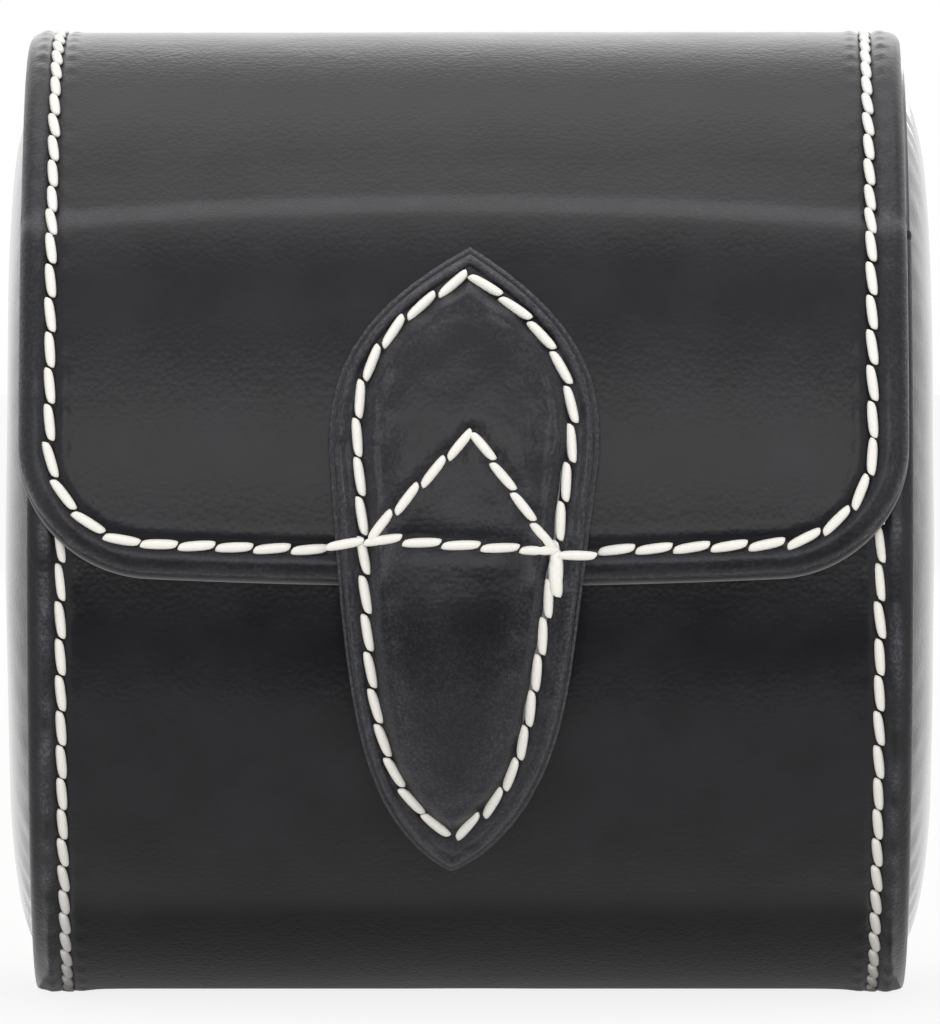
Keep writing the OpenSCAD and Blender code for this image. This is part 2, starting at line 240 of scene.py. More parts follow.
class CushionSizes(bpy.types.PropertyGroup):
    """Sizes of the loose watch cushion."""

    swell: length("Swelling", "Most that the stuffing may swell the cover", 3.0 * MM)
    voxel: length("Cloth cell", "Size of the cells of the simulated cover", 3.6 * MM)
    pressure: plain("Stuffing", "Pressure of the stuffing on the cover", 4.0)
    seam_inset: length("End seam", "Distance of the end seams from the ends", 4.0 * MM)
    clearance: length("Clearance", "Gap between the cushion and the lining", 0.3 * MM)


class CaseColours(bpy.types.PropertyGroup):
    """Colours of the finishes."""

    leather: colour("Leather", "Dyed grain of the leather", "#1b1a1d")
    # Paler tone, both for random mottling and for painted highlights along edges, seams, ridges and
    # the crease
    leather_mottle_and_highlight: colour("Rubbed leather", "Leather where edges are burnished", "#55545a")
    suede: colour("Suede", "Lining and cushion", "#3a383b")
    suede_nap: colour("Suede nap", "Suede where the nap lies the other way", "#4b494d")
    # Colour of the painted highlight along the lining's cut edge
    suede_edge_highlight: colour("Suede edge", "Cut edge of the lining, with its pale core", "#8f8b8c")
    thread: colour("Thread", "Waxed sewing thread", "#fcfaf4")
    board: colour("Board", "Grey bookbinding board", "#8a8378")
    foam: colour("Foam", "Open-cell foam", "#6f7276")
    steel: colour("Steel", "Plated steel of the catch plate", "#9a9da1")
    nickel: colour("Nickel", "Nickel plating of the magnet", "#b9b6ae")
    floor: colour("Floor", "Paper sweep under the case", "#e6e5e2")


class StageSettings(bpy.types.PropertyGroup):
    """Camera and light."""

    distance: length("Camera distance", "Distance of the camera", 1.8)
    elevation: angle("Camera height", "Angle of the camera above the horizon", 1.5)
    view_height: length("View height", "Height of the picture at the case", 101.9 * MM)
    aim_height: length("Aim", "Height of the point that the camera looks at", 47.3 * MM)
    sky: plain("Sky", "Strength of the light all round", 0.78)
    top_light: plain("Top light", "Power of the overhead softbox", 2.3)
    rim_light: plain("Rim light", "Power of the softbox behind", 2.0)
    front_light: plain("Front light", "Power of the front softbox", 15.5)
    card_near: length("Front card", "Distance to the dark front card's near edge", 85 * MM)
    card_far: length("Front card's end", "Distance to that card's far edge", 260 * MM)
    card_under: length("Under card", "Distance to the front edge of the card underneath", 27 * MM)
    under_cover: plain("Under card's cover", "How much of the floor it hides", 0.62, 0, 1)


# ---------------------------------------------------------------- shapes


def ease(t):
    """0 below 0 and 1 above 1, with a smooth rise between them."""
    u = np.clip(t, 0, 1)
    return u * u * (3 - 2 * u)


def bump(distance, width):
    """A rounded rise of height 1 that fades over a width."""
    return np.exp(-((distance / width) ** 2))


def round_down(inward, radius):
    """How far a rounded edge lies below the surface, at a distance inward from the edge."""
    u = radius - np.clip(inward, 0, radius)
    return radius - np.sqrt(np.maximum(radius**2 - u**2, 0))


def rounded_share(inward, radius):
    """0 at an edge and 1 from a radius inward, along a quarter of a circle."""
    return np.sqrt(1 - (1 - np.clip(inward / radius, 0, 1)) ** 2)


def layer_depths(edges, thickness):
    """Depths of a layer's outer and inner face, which meet along its rounded edges. Each edge is
    a distance inward and a radius."""
    outer = 0
    opening = 1
    for inward, radius in edges:
        outer = np.maximum(outer, round_down(inward, radius))
        opening = np.minimum(opening, rounded_share(inward, radius))
    return outer, outer + thickness * opening


def round_axis(radius, turn, x):
    """Points at a radius and an angle round the drum's axis."""
    radius, a, x = np.broadcast_arrays(radius, np.radians(turn), x)
    return np.stack([x, radius * np.cos(a), AXIS_Z + radius * np.sin(a)], -1)


def axis_distance(points):
    """How far points are from the drum's axis."""
    return np.linalg.norm(points[..., 1:] - [0, AXIS_Z], axis=-1)


def drawn_to_axis(points, scale):
    """The same points, with their distances from the drum's axis scaled."""
    points = points.copy()
    points[..., 1] *= scale
    points[..., 2] = AXIS_Z + (points[..., 2] - AXIS_Z) * scale
    return points


def facing_out(turn):
    """Directions straight out from the drum's axis."""
    return round_axis(1.0, turn, 0.0) - [0, 0, AXIS_Z]


def roughness_of_hand(points, size, seed):
    """Smooth unevenness from -1 to 1, with dents of about that size."""
    spots = points.reshape(-1, 3) / size + seed * 7.31
    return np.array([noise.noise(p) for p in spots.tolist()]).reshape(points.shape[:-1])


def steps_from_edge(half, rounding, fine_to, fine=0.24 * MM, coarse=1.7 * MM):
    """Places from -half to half, close together near both edges."""
    turn = rounding * (1 - np.cos(np.linspace(0, math.pi / 2, 9)))
    close = np.arange(rounding + fine, fine_to, fine)
    middle = np.linspace(fine_to, half, int((half - fine_to) / coarse) + 1)
    inward = np.concatenate([turn, close, middle])
    return np.concatenate([inward - half, (half - inward)[-2::-1]])


def add_object(name, data):
    """A new object in the scene."""
    thing = bpy.data.objects.new(name, data)
    bpy.context.scene.collection.objects.link(thing)
    return thing


def worked_out(thing):
    """The mesh that an object's modifiers make."""
    return bpy.data.meshes.new_from_object(
        thing.evaluated_get(bpy.context.evaluated_depsgraph_get())
    )


def points_of(mesh):
    """A mesh's points as an array."""
    return np.array([v.co for v in mesh.vertices])


def move_points(mesh, points):
    """Puts a mesh's points where an array says."""
    mesh.vertices.foreach_set("co", points.ravel())
    mesh.update()


def make_piece(name, points, faces, finish, painted_highlight=None):
    """A closed smooth mesh with its doubles merged and its faces pointing outwards."""
    mesh = bpy.data.meshes.new(name)
    mesh.from_pydata(points.reshape(-1, 3).tolist(), [], faces)
    # Painted highlights, kept as a point attribute that the finishes read
    if painted_highlight is not None:
        mesh.attributes.new("painted_highlight", "FLOAT", "POINT").data.foreach_set("value", painted_highlight.ravel())
    form = bmesh.new()
    form.from_mesh(mesh)
    bmesh.ops.remove_doubles(form, verts=form.verts, dist=0.002 * MM)
    bmesh.ops.dissolve_degenerate(form, edges=form.edges, dist=0.0005 * MM)
    bmesh.ops.recalc_face_normals(form, faces=form.faces)
    form.to_mesh(mesh)
    form.free()
    mesh.shade_smooth()
    mesh.materials.append(finish)
    return add_object(name, mesh)


def grid_faces(rows, columns, first=0):
    """Faces between the points of a grid that are numbered from first."""
    cell = np.arange(rows * columns).reshape(rows, columns) + first
    return np.stack(
        [cell[:-1, :-1], cell[:-1, 1:], cell[1:, 1:], cell[1:, :-1]], -1
    ).reshape(-1, 4)


def make_layer(name, outer, inner, finish, painted_highlight=None):
    """A closed layer from its two faces, grids of points that meet along their border."""
    rows, columns = outer.shape[:2]
    count = rows * columns
    cell = np.arange(count).reshape(rows, columns)
    border = np.concatenate([cell[0, :-1], cell[:-1, -1], cell[-1, :0:-1], cell[:0:-1, 0]])
    after = np.roll(border, -1)
    faces = np.concatenate([
        grid_faces(rows, columns),
        grid_faces(rows, columns, count)[:, ::-1],
        np.stack([after, border, border + count, after + count], -1),
    ])
    points = np.concatenate([outer.reshape(-1, 3), inner.reshape(-1, 3)])
    # The painted highlights, given to both faces
    highlight_on_both_faces = None if painted_highlight is None else np.concatenate([painted_highlight.ravel(), painted_highlight.ravel()])
    return make_piece(name, points, faces.tolist(), finish, highlight_on_both_faces)


def make_turned(name, profile, side, finish, relief=None, steps=216):
    """A closed profile of distances along and out from the axis, turned round the drum's axis."""
    along, out = np.array(profile).T
    turn = np.linspace(0, 360, steps, endpoint=False)[:, None]
    grid = round_axis(out[None], turn, side * along[None])
    if relief is not None:
        grid = relief(grid, turn, along[None], out[None])
    grid = np.concatenate([grid, grid[:1]])
    return make_piece(name, grid, grid_faces(*grid.shape[:2]).tolist(), finish)


# ---------------------------------------------------------------- seams


def evenly(path, step):
    """The same line with points a step apart, and how far along it each is."""
    leg = np.linalg.norm(np.diff(path, axis=0), axis=1)
    at = np.concatenate([[0], np.cumsum(leg)])
    along = np.linspace(0, at[-1], max(2, int(at[-1] / step) + 1))
    return np.stack([np.interp(along, at, c) for c in path.T], -1), along


def run_of(path):
    """The length of a line of points."""
    return np.linalg.norm(np.diff(path, axis=0), axis=1).sum()


def stitches_in(reach, pitch):
    """How many whole stitches a length takes."""
    return max(2, round(reach / pitch))


def near_seam(spots, path, stitches):
    """For spots laid out flat, the distance from a seam and the count of stitches along it."""
    line, along = evenly(path, 0.12 * MM)
    tree = kdtree.KDTree(len(line))
    for i, p in enumerate(line.tolist()):
        tree.insert((p[0], p[1], 0), i)
    tree.balance()
    found = [tree.find((p[0], p[1], 0)) for p in spots.reshape(-1, 2).tolist()]
    distance = np.array([f[2] for f in found]).reshape(spots.shape[:-1])
    place = along[[f[1] for f in found]].reshape(spots.shape[:-1])
    return distance, place / along[-1] * stitches


def pulled_in(distance, count, sizes):
    """Relief of leather at a seam: a groove with swellings that are pinched at each needle hole."""
    pinch = 0.62 - 0.38 * np.cos(2 * math.pi * count)
    return (
        -sizes.groove * bump(distance, sizes.groove_width)
        + sizes.pucker * pinch * bump(distance - sizes.pucker_reach, 0.5 * MM)
    )


def add_node(tree, kind, inputs=(), **settings):
    """Adds one node with its settings. Its inputs, given in their order or by name or number, are
    values or other nodes' outputs."""
    node = tree.nodes.new(kind)
    for name, value in settings.items():
        setattr(node, name, value)
    for key, value in inputs.items() if isinstance(inputs, dict) else enumerate(inputs):
        socket = node.inputs[key]
        if isinstance(value, bpy.types.NodeSocket):
            tree.links.new(value, socket)
        elif socket.type == "RGBA":
            socket.default_value = (*value[:3], 1)
        else:
            socket.default_value = value
    return node


# How a stitch's form departs from a ball: how blunt its ends are, how long it keeps its girth,
# and how far its ends slope
STITCH_BLUNT, STITCH_FULL, STITCH_SLOPE = 0.85, -0.26, 0.55


def stitching_tree():
    """Geometry Nodes that lay blunt stitches end to end along the seam lines they are given."""
    tree = bpy.data.node_groups.new("hand_stitching", "GeometryNodeTree")
    for name, kind in (
        ("Seam lines", "Geometry"), ("Pitch", "Float"), ("Thread width", "Float"),
        ("Thread height", "Float"), ("Length share", "Float"), ("Slant", "Float"),
        ("Scatter", "Float"), ("Seed", "Int"), ("Thread", "Material"),
    ):
        tree.interface.new_socket(name, in_out="INPUT", socket_type=f"NodeSocket{kind}")
    tree.interface.new_socket("Stitches", in_out="OUTPUT", socket_type="NodeSocketGeometry")
    given = add_node(tree, "NodeGroupInput").outputs
    kept = {
        name: add_node(
            tree, "GeometryNodeInputNamedAttribute", {"Name": name}, data_type=kind
        ).outputs["Attribute"]
        for name, kind in (
            ("stitches", "INT"), ("outward", "FLOAT_VECTOR"),
            ("girth", "FLOAT"), ("reach", "FLOAT"),
        )
    }

    # One stitch: a ball drawn out to blunt ends that slope, because its two strands end apart.
    # Each row works out a value from earlier ones.
    ball = add_node(tree, "GeometryNodeMeshUVSphere", {"Segments": 8, "Rings": 9, "Radius": 1.0})
    spot = add_node(tree, "GeometryNodeInputPosition").outputs[0]
    part = add_node(tree, "ShaderNodeSeparateXYZ", (spot,)).outputs
    values = {
        "x": part[0], "y": part[1], "z": part[2], "pitch": given["Pitch"],
        "width": given["Thread width"], "height": given["Thread height"],
        "share": given["Length share"], "scatter": given["Scatter"], "count": kept["stitches"],
    }
    for name, operation, a, b in (
        ("side", "SIGN", "z", 0.0),
        ("far", "ABSOLUTE", "z", 0.0),
        ("blunt", "POWER", "far", STITCH_BLUNT),
        ("along", "MULTIPLY", "side", "blunt"),
        ("squared", "MULTIPLY", "z", "z"),
        ("room", "SUBTRACT", 1.0, "squared"),
        ("ring", "MAXIMUM", "room", 0.0001),
        ("full", "POWER", "ring", STITCH_FULL),
        ("step", "MULTIPLY", "pitch", "share"),
        ("half length", "MULTIPLY", "step", 0.5),
        ("half width", "MULTIPLY", "width", 0.5),
        ("half height", "MULTIPLY", "height", 0.5),
        ("x full", "MULTIPLY", "x", "full"),
        ("y full", "MULTIPLY", "y", "full"),
        ("across", "MULTIPLY", "x full", "half width"),
        ("up", "MULTIPLY", "y full", "half height"),
        ("drawn out", "MULTIPLY", "along", "half length"),
        ("slope", "MULTIPLY", "across", STITCH_SLOPE),
        ("lengthways", "ADD", "drawn out", "slope"),
        ("half step", "DIVIDE", 0.5, "count"),
        ("last", "SUBTRACT", 1.0, "half step"),
        ("scatter back", "MULTIPLY", "scatter", -1.0),
    ):
        terms = [values.get(term, term) for term in (a, b)]
        values[name] = add_node(tree, "ShaderNodeMath", terms, operation=operation).outputs[0]
    lens = add_node(tree, "ShaderNodeCombineXYZ", (
        values["lengthways"], values["across"], values["up"],
    ))
    marked = add_node(tree, "GeometryNodeStoreNamedAttribute", {
        "Geometry": ball.outputs["Mesh"], "Name": "strand", "Value": spot,
    }, data_type="FLOAT_VECTOR", domain="POINT")
    stitch = add_node(tree, "GeometryNodeSetPosition", {
        "Geometry": marked.outputs[0], "Position": lens.outputs[0],
    })
    smooth = add_node(tree, "GeometryNodeSetShadeSmooth", {"Geometry": stitch.outputs[0]})

    # The middles of the stitches on each seam line
    seam = add_node(tree, "GeometryNodeMeshToCurve", {"Mesh": given["Seam lines"]})
    trimmed = add_node(tree, "GeometryNodeTrimCurve", {
        "Curve": seam.outputs[0], "Start": values["half step"], "End": values["last"],
    }, mode="FACTOR")
    middles = add_node(tree, "GeometryNodeResampleCurve", {
        "Curve": trimmed.outputs[0], "Count": kept["stitches"],
    }, mode="COUNT")

    # Each stitch lies along its seam, square to the leather, with its own slant
    tangent = add_node(tree, "GeometryNodeInputTangent").outputs[0]
    lengthways = add_node(tree, "FunctionNodeAlignRotationToVector", {"Vector": tangent}, axis="X")
    upright = add_node(tree, "FunctionNodeAlignRotationToVector", {
        "Rotation": lengthways.outputs[0], "Vector": kept["outward"],
    }, axis="Z", pivot_axis="X")
    wander = add_node(tree, "FunctionNodeRandomValue", {
        2: values["scatter back"], 3: given["Scatter"], "Seed": given["Seed"],
    }, data_type="FLOAT").outputs[1]
    slanted = add_node(tree, "ShaderNodeMath", (given["Slant"], wander), operation="ADD")
    turned = add_node(tree, "ShaderNodeCombineXYZ", {2: slanted.outputs[0]})
    turn = add_node(tree, "FunctionNodeEulerToRotation", (turned.outputs[0],))
    laid = add_node(tree, "FunctionNodeRotateRotation", {
        "Rotation": upright.outputs[0], "Rotate By": turn.outputs[0],
    }, rotation_space="LOCAL")
    size = add_node(tree, "ShaderNodeCombineXYZ", (kept["reach"], kept["girth"], kept["girth"]))
    placed = add_node(tree, "GeometryNodeInstanceOnPoints", {
        "Points": middles.outputs[0], "Instance": smooth.outputs[0],
        "Rotation": laid.outputs[0], "Scale": size.outputs[0],
    })
    real = add_node(tree, "GeometryNodeRealizeInstances", {"Geometry": placed.outputs[0]})
    finished = add_node(tree, "GeometryNodeSetMaterial", {
        "Geometry": real.outputs[0], "Material": given["Thread"],
    })
    add_node(tree, "NodeGroupOutput", {"Stitches": finished.outputs[0]})
    return tree


def sew(name, seams, finish, sizes):
    """One mesh of stitches from seams. Each is a line of points, the directions that the leather
    faces there, a count of stitches, a thread girth, and how much the stitches are stretched."""
    lines = [line for line, *_ in seams]
    starts = np.cumsum([0] + [len(line) for line in lines])
    edges = [(i, i + 1) for s, e in zip(starts, starts[1:]) for i in range(s, e - 1)]
    mesh = bpy.data.meshes.new(name)
    mesh.from_pydata(np.concatenate(lines).tolist(), edges, [])
    outward = np.concatenate([face for _, face, *_ in seams])
    kept = mesh.attributes.new("outward", "FLOAT_VECTOR", "POINT")
    kept.data.foreach_set("vector", outward.ravel())
    for attribute, kind, values in (
        ("stitches", "INT", [count for _, _, count, *_ in seams]),
        ("girth", "FLOAT", [girth for *_, girth, _ in seams]),
        ("reach", "FLOAT", [
            stretch * run_of(line) / count / sizes.pitch for line, _, count, _, stretch in seams
        ]),
    ):
        spread = np.concatenate([[value] * len(line) for value, line in zip(values, lines)])
        mesh.attributes.new(attribute, kind, "POINT").data.foreach_set("value", spread)
    sewn = add_object(name, mesh)
    tree = bpy.data.node_groups.get("hand_stitching") or stitching_tree()
    sewing = sewn.modifiers.new("stitches", "NODES")
    sewing.node_group = tree
    settings = {
        "Pitch": sizes.pitch, "Thread width": sizes.thread, "Thread height": sizes.height,
        "Length share": sizes.share, "Slant": sizes.slant, "Scatter": sizes.scatter,
        "Seed": sizes.seed, "Thread": finish,
    }
    for socket in tree.interface.items_tree:
        if socket.name in settings:
            sewing[socket.identifier] = settings[socket.name]
    stitches = worked_out(sewn)
    sewn.modifiers.remove(sewing)
    sewn.data = stitches
    bpy.data.meshes.remove(mesh)
    stitches.name = name
    return sewn


# ---------------------------------------------------------------- finishes


def start_finish(name):
    """A new material and its empty tree."""
    finish = bpy.data.materials.get(name) or bpy.data.materials.new(name)
    finish.use_nodes = True
    finish.node_tree.nodes.clear()
    return finish, finish.node_tree


def end_finish(tree, **inputs):
    """Ends a finish in its shader, with these inputs."""
    inputs = {name.replace("_", " "): value for name, value in inputs.items()}
    shader = add_node(tree, "ShaderNodeBsdfPrincipled", inputs)
    add_node(tree, "ShaderNodeOutputMaterial", {"Surface": shader.outputs[0]})


def cells(size):
    """Scale of a texture whose cells are this size, in metres."""
    return 1 / size


def blended(tree, amount, limits, first, second):
    """Two colours mixed by an amount, drawn from the first pair of limits to the second."""
    share = add_node(tree, "ShaderNodeMapRange", (amount, *limits))
    return add_node(
        tree, "ShaderNodeMix", {0: share.outputs[0], 6: first, 7: second}, data_type="RGBA"
    ).outputs[2]


def full_grain_leather(name, colours, glaze=0.0):
    """Dyed full-grain calf: a fine pebbled grain under a thin wax, which gives a broad soft
    highlight, and faint mottling where it was stretched. Painted highlights, speckled, lighten
    its edges, seams, ridges and crease where the mesh marks them. A glazed one has been polished
    under heat, and mirrors a bright streak where it turns away."""
    finish, tree = start_finish(name)
    place = add_node(tree, "ShaderNodeTexCoord").outputs["Object"]
    pebble = add_node(tree, "ShaderNodeTexVoronoi", {
        "Vector": place, "Scale": cells(0.55 * MM), "Randomness": 0.9,
    }).outputs["Distance"]
    creases, mottle, speckle = (
        add_node(tree, "ShaderNodeTexNoise", {
            "Vector": place, "Scale": cells(size), "Detail": detail, "Roughness": fineness,
        }).outputs["Fac"]
        for size, detail, fineness in (
            (2.2 * MM, 4.0, 0.6), (7 * MM, 3.0, 0.55), (0.32 * MM, 2.0, 0.6),
        )
    )
    # Painted highlights: the mesh's highlight attribute, speckled, mixes in the paler colour
    painted_highlight_mask = add_node(tree, "ShaderNodeAttribute", attribute_name="painted_highlight").outputs["Fac"]
    patchy = add_node(tree, "ShaderNodeMapRange", (speckle, 0.43, 0.68, 0.45, 1.6)).outputs[0]
    painted_highlight = add_node(
        tree, "ShaderNodeMath", (painted_highlight_mask, patchy), operation="MULTIPLY", use_clamp=True
    ).outputs[0]
    dyed = blended(tree, mottle, (0.35, 0.7, 0.0, 0.07), colours.leather, colours.leather_mottle_and_highlight)
    with_painted_highlight = add_node(
        tree, "ShaderNodeMix", {0: painted_highlight, 6: dyed, 7: colours.leather_mottle_and_highlight}, data_type="RGBA"
    )
    waxed = add_node(tree, "ShaderNodeMapRange", (mottle, 0.3, 0.7, 0.29, 0.33))
    grain = add_node(tree, "ShaderNodeBump", {
        "Height": pebble, "Strength": 0.6, "Distance": 0.05 * MM,
    }, invert=True)
    folds = add_node(tree, "ShaderNodeBump", {
        "Height": creases, "Strength": 0.6, "Distance": 0.06 * MM, "Normal": grain.outputs[0],
    })
    end_finish(
        tree, Base_Color=with_painted_highlight.outputs[2], Roughness=waxed.outputs[0],
        Normal=folds.outputs[0], Specular_IOR_Level=0.22, Coat_Weight=glaze, Coat_Roughness=0.14,
    )
    return finish


def microsuede(colours):
    """Short-nap microsuede: matt, with a soft sheen at grazing angles and cloudy patches where
    the nap has been stroked the other way. A painted highlight lightens the edges that the mesh
    marks."""
    finish, tree = start_finish("short_nap_microsuede")
    place = add_node(tree, "ShaderNodeTexCoord").outputs["Object"]
    clouds = add_node(tree, "ShaderNodeTexNoise", {
        "Vector": place, "Scale": cells(14 * MM), "Detail": 2.0,
    }).outputs["Fac"]
    nap = add_node(tree, "ShaderNodeTexNoise", {
        "Vector": place, "Scale": cells(0.35 * MM), "Detail": 3.0, "Roughness": 0.7,
    }).outputs["Fac"]
    # Painted highlight along the cut edges
    painted_edge_highlight = add_node(tree, "ShaderNodeAttribute", attribute_name="painted_highlight").outputs["Fac"]
    brushed = blended(tree, clouds, (0.38, 0.66, 0.0, 0.8), colours.suede, colours.suede_nap)
    with_edge_highlight = add_node(
        tree, "ShaderNodeMix", {0: painted_edge_highlight, 6: brushed, 7: colours.suede_edge_highlight}, data_type="RGBA"
    )
    fuzz = add_node(tree, "ShaderNodeBump", {
        "Height": nap, "Strength": 0.6, "Distance": 0.06 * MM,
    })
    end_finish(
        tree, Base_Color=with_edge_highlight.outputs[2], Roughness=0.93, Normal=fuzz.outputs[0],
        Sheen_Weight=0.35, Sheen_Roughness=0.5,
    )
    return finish


def waxed_thread(colours):
    """Waxed linen thread: twisted strands that show as fine diagonal lines, with a dull shine."""
    finish, tree = start_finish("waxed_linen_thread")
    place = add_node(tree, "ShaderNodeTexCoord").outputs["Object"]
    strand = add_node(tree, "ShaderNodeAttribute", attribute_name="strand").outputs["Vector"]
    twist = add_node(tree, "ShaderNodeMapping", {"Vector": strand, "Rotation": (0.0, 0.9, 0.0)})
    lay = add_node(tree, "ShaderNodeTexWave", {
        "Vector": twist.outputs[0], "Scale": 1.4, "Distortion": 0.3,
    }, bands_direction="Z").outputs["Fac"]
    wax = add_node(tree, "ShaderNodeTexNoise", {
        "Vector": place, "Scale": cells(1.5 * MM),
    }).outputs["Fac"]
    ply = add_node(tree, "ShaderNodeBump", {
        "Height": lay, "Strength": 0.35, "Distance": 0.08 * MM,
    })
    toned = blended(tree, wax, (0.35, 0.7, 0.0, 0.08), colours.thread, srgb("#cdbf9f"))
    end_finish(
        tree, Base_Color=toned, Roughness=0.58, Normal=ply.outputs[0], Sheen_Weight=0.15
    )
    return finish


def bookbinding_board(colours):
    """Grey bookbinding board: pressed pulp, matt, with darker fibres in it."""
    finish, tree = start_finish("grey_bookbinding_board")
    place = add_node(tree, "ShaderNodeTexCoord").outputs["Object"]
    fibres = add_node(tree, "ShaderNodeTexNoise", {
        "Vector": place, "Scale": cells(0.9 * MM), "Detail": 6.0, "Roughness": 0.75,
    }).outputs["Fac"]
    pulp = add_node(tree, "ShaderNodeBump", {
        "Height": fibres, "Strength": 0.4, "Distance": 0.05 * MM,
    })
    flecked = blended(tree, fibres, (0.5, 0.72, 0.0, 0.6), colours.board, srgb("#5f594f"))
    end_finish(tree, Base_Color=flecked, Roughness=0.9, Normal=pulp.outputs[0])
    return finish


def open_cell_foam(colours):
    """Open-cell polyurethane foam: small round pores, no shine at all."""
    finish, tree = start_finish("open_cell_foam")
    place = add_node(tree, "ShaderNodeTexCoord").outputs["Object"]
    pores = add_node(tree, "ShaderNodeTexVoronoi", {
        "Vector": place, "Scale": cells(0.6 * MM),
    }).outputs["Distance"]
    holes = add_node(tree, "ShaderNodeBump", {
        "Height": pores, "Strength": 0.7, "Distance": 0.2 * MM,
    })
    # Painted shade darkens the pores
    pores_shaded = blended(tree, pores, (0.0, 0.35, 0.7, 0.0), colours.foam, srgb("#3d3f42"))
    end_finish(tree, Base_Color=pores_shaded, Roughness=0.95, Normal=holes.outputs[0])
    return finish


def plated_metal(name, tone, roughness, scratch):
    """Plated sheet metal with the fine lines of its rolling."""
    finish, tree = start_finish(name)
    place = add_node(tree, "ShaderNodeTexCoord").outputs["Object"]
    drawn = add_node(tree, "ShaderNodeMapping", {"Vector": place, "Scale": (1.0, 14.0, 14.0)})
    lines = add_node(tree, "ShaderNodeTexNoise", {
        "Vector": drawn.outputs[0], "Scale": cells(scratch), "Detail": 2.0,
    }).outputs["Fac"]
    dulled = add_node(
        tree, "ShaderNodeMapRange", (lines, 0.3, 0.7, roughness - 0.06, roughness + 0.08)
    )
    brushed = add_node(tree, "ShaderNodeBump", {
        "Height": lines, "Strength": 0.3, "Distance": 0.01 * MM,
    })
    end_finish(
        tree, Base_Color=tone, Metallic=1.0, Roughness=dulled.outputs[0], Normal=brushed.outputs[0]
    )
    return finish


def finish_named(name):
    """A finish that the finishes operator has made."""
    return bpy.data.materials[name]


def leather():
    """The leather of the body, the flap and the tab."""
    return finish_named("full_grain_calf_leather")


def suede():
    """The suede of the lining and the cushion."""
    return finish_named("short_nap_microsuede")


def thread():
    """The thread of every seam."""
    return finish_named("waxed_linen_thread")


# ---------------------------------------------------------------- the drum


def body_seam_x(drum):
    """How far the body's seams are from its middle."""
    return BODY_HALF - drum.seam_inset


def front_wall_a(drum):
    """Where the body leather starts, behind the strip on the mouth's edge."""
    return MOUTH_A + math.degrees(math.asin(drum.edging_width / BODY_R))


def body_span(drum, stitch):
    """The angles where the body leather starts and ends, and the stitches between them."""
    start, end = front_wall_a(drum), 360 + HINGE_A - HINGE_GAP_A
    return start, end, stitches_in(math.radians(end - start) * BODY_R, stitch.pitch)


def make_body_leather(drum, stitch):
    """The leather wrapped round the drum, with its two rolled rims and its two seams."""
    x = steps_from_edge(BODY_HALF, drum.rim_rounding, 6.2 * MM)[None]
    start, end, count = body_span(drum, stitch)
    rows = int(math.radians(end - start) * BODY_R / (0.72 * MM))
    ends = 1 - np.cos(np.linspace(0, math.pi / 2, 5))[:-1]
    ends *= math.degrees(drum.end_rounding / BODY_R)
    between = np.linspace(start + ends[-1], end - ends[-1], rows)[1:-1]
    turn = np.concatenate([start + ends, between, end - ends[::-1]])[:, None]
    from_rim = BODY_HALF - np.abs(x)
    from_seam = np.abs(np.abs(x) - body_seam_x(drum))
    from_end = np.minimum(turn - start, end - turn) * math.radians(1) * BODY_R
    outer, inner = layer_depths(
        [(from_rim + 0 * turn, drum.rim_rounding), (from_end + 0 * x, drum.end_rounding)],
        drum.wrap_thickness,
    )
    seam = pulled_in(from_seam, (turn - start) / (end - start) * count, stitch)
    # Dents along the rims and over the body, and a wavy ridge outside each seam
    flat = round_axis(BODY_R, turn, x)
    rise = 0.07 * MM * roughness_of_hand(flat, 3.2 * MM, 1) * bump(from_rim - 2.2 * MM, 1.4 * MM)
    rise = rise + 0.10 * MM * roughness_of_hand(flat, 22 * MM, 2)
    wave = 0.5 + 0.5 * roughness_of_hand(flat, 4.5 * MM, 13)
    puckered = bump(from_rim - (drum.seam_inset - 1.75 * MM) - 0.35 * MM * wave, 0.55 * MM)
    rise = rise + drum.rim_pucker * puckered * (0.5 + wave)
    rise = (rise + seam) * ease(from_rim / (1.2 * MM)) * ease(from_end / (1.5 * MM))
    under_flap = turn < HEM_A + 3
    rise = np.where(under_flap, np.minimum(rise, 0.1 * MM), rise)
    faces = [
        round_axis(BODY_R - depth + rise * keep, turn, x)
        for depth, keep in ((outer, 1), (inner, 0.3))
    ]
    # It stands on its two seams, and is pressed flat there
    floor = drum.bottom_lift * (1 - bump(from_seam, 2.6 * MM))
    faces[0][..., 2] = np.maximum(faces[0][..., 2], floor)
    faces[1][..., 2] = np.maximum(faces[1][..., 2], floor + 0.12 * MM)
    # Painted highlights: thin lines along the rims and the ends, and a speckled one on the wavy
    # ridge outside each seam
    painted_highlight = 0.08 * bump(from_rim, 0.8 * MM) + 0.25 * bump(from_end, 0.5 * MM)
    painted_highlight = painted_highlight + 0.8 * puckered * np.clip(0.5 + roughness_of_hand(flat, 2.2 * MM, 12), 0, 1.5)
    return make_layer("body_leather", *faces, leather(), painted_highlight)


def body_seams(drum, stitch):
    """The two seams round the body, level with the leather under the flap and proud of it below."""
    start, end, count = body_span(drum, stitch)
    turn = np.linspace(start, end, 700)
    sunk = 0.26 * MM * (1 - ease((turn - HEM_A) / 3)) + 0.16 * MM
    seams = []
    for side in (-1, 1):
        line = round_axis(BODY_R - sunk, turn, side * body_seam_x(drum))
        seams.append((line, facing_out(turn), count, 1.0, 1.0))
    return seams


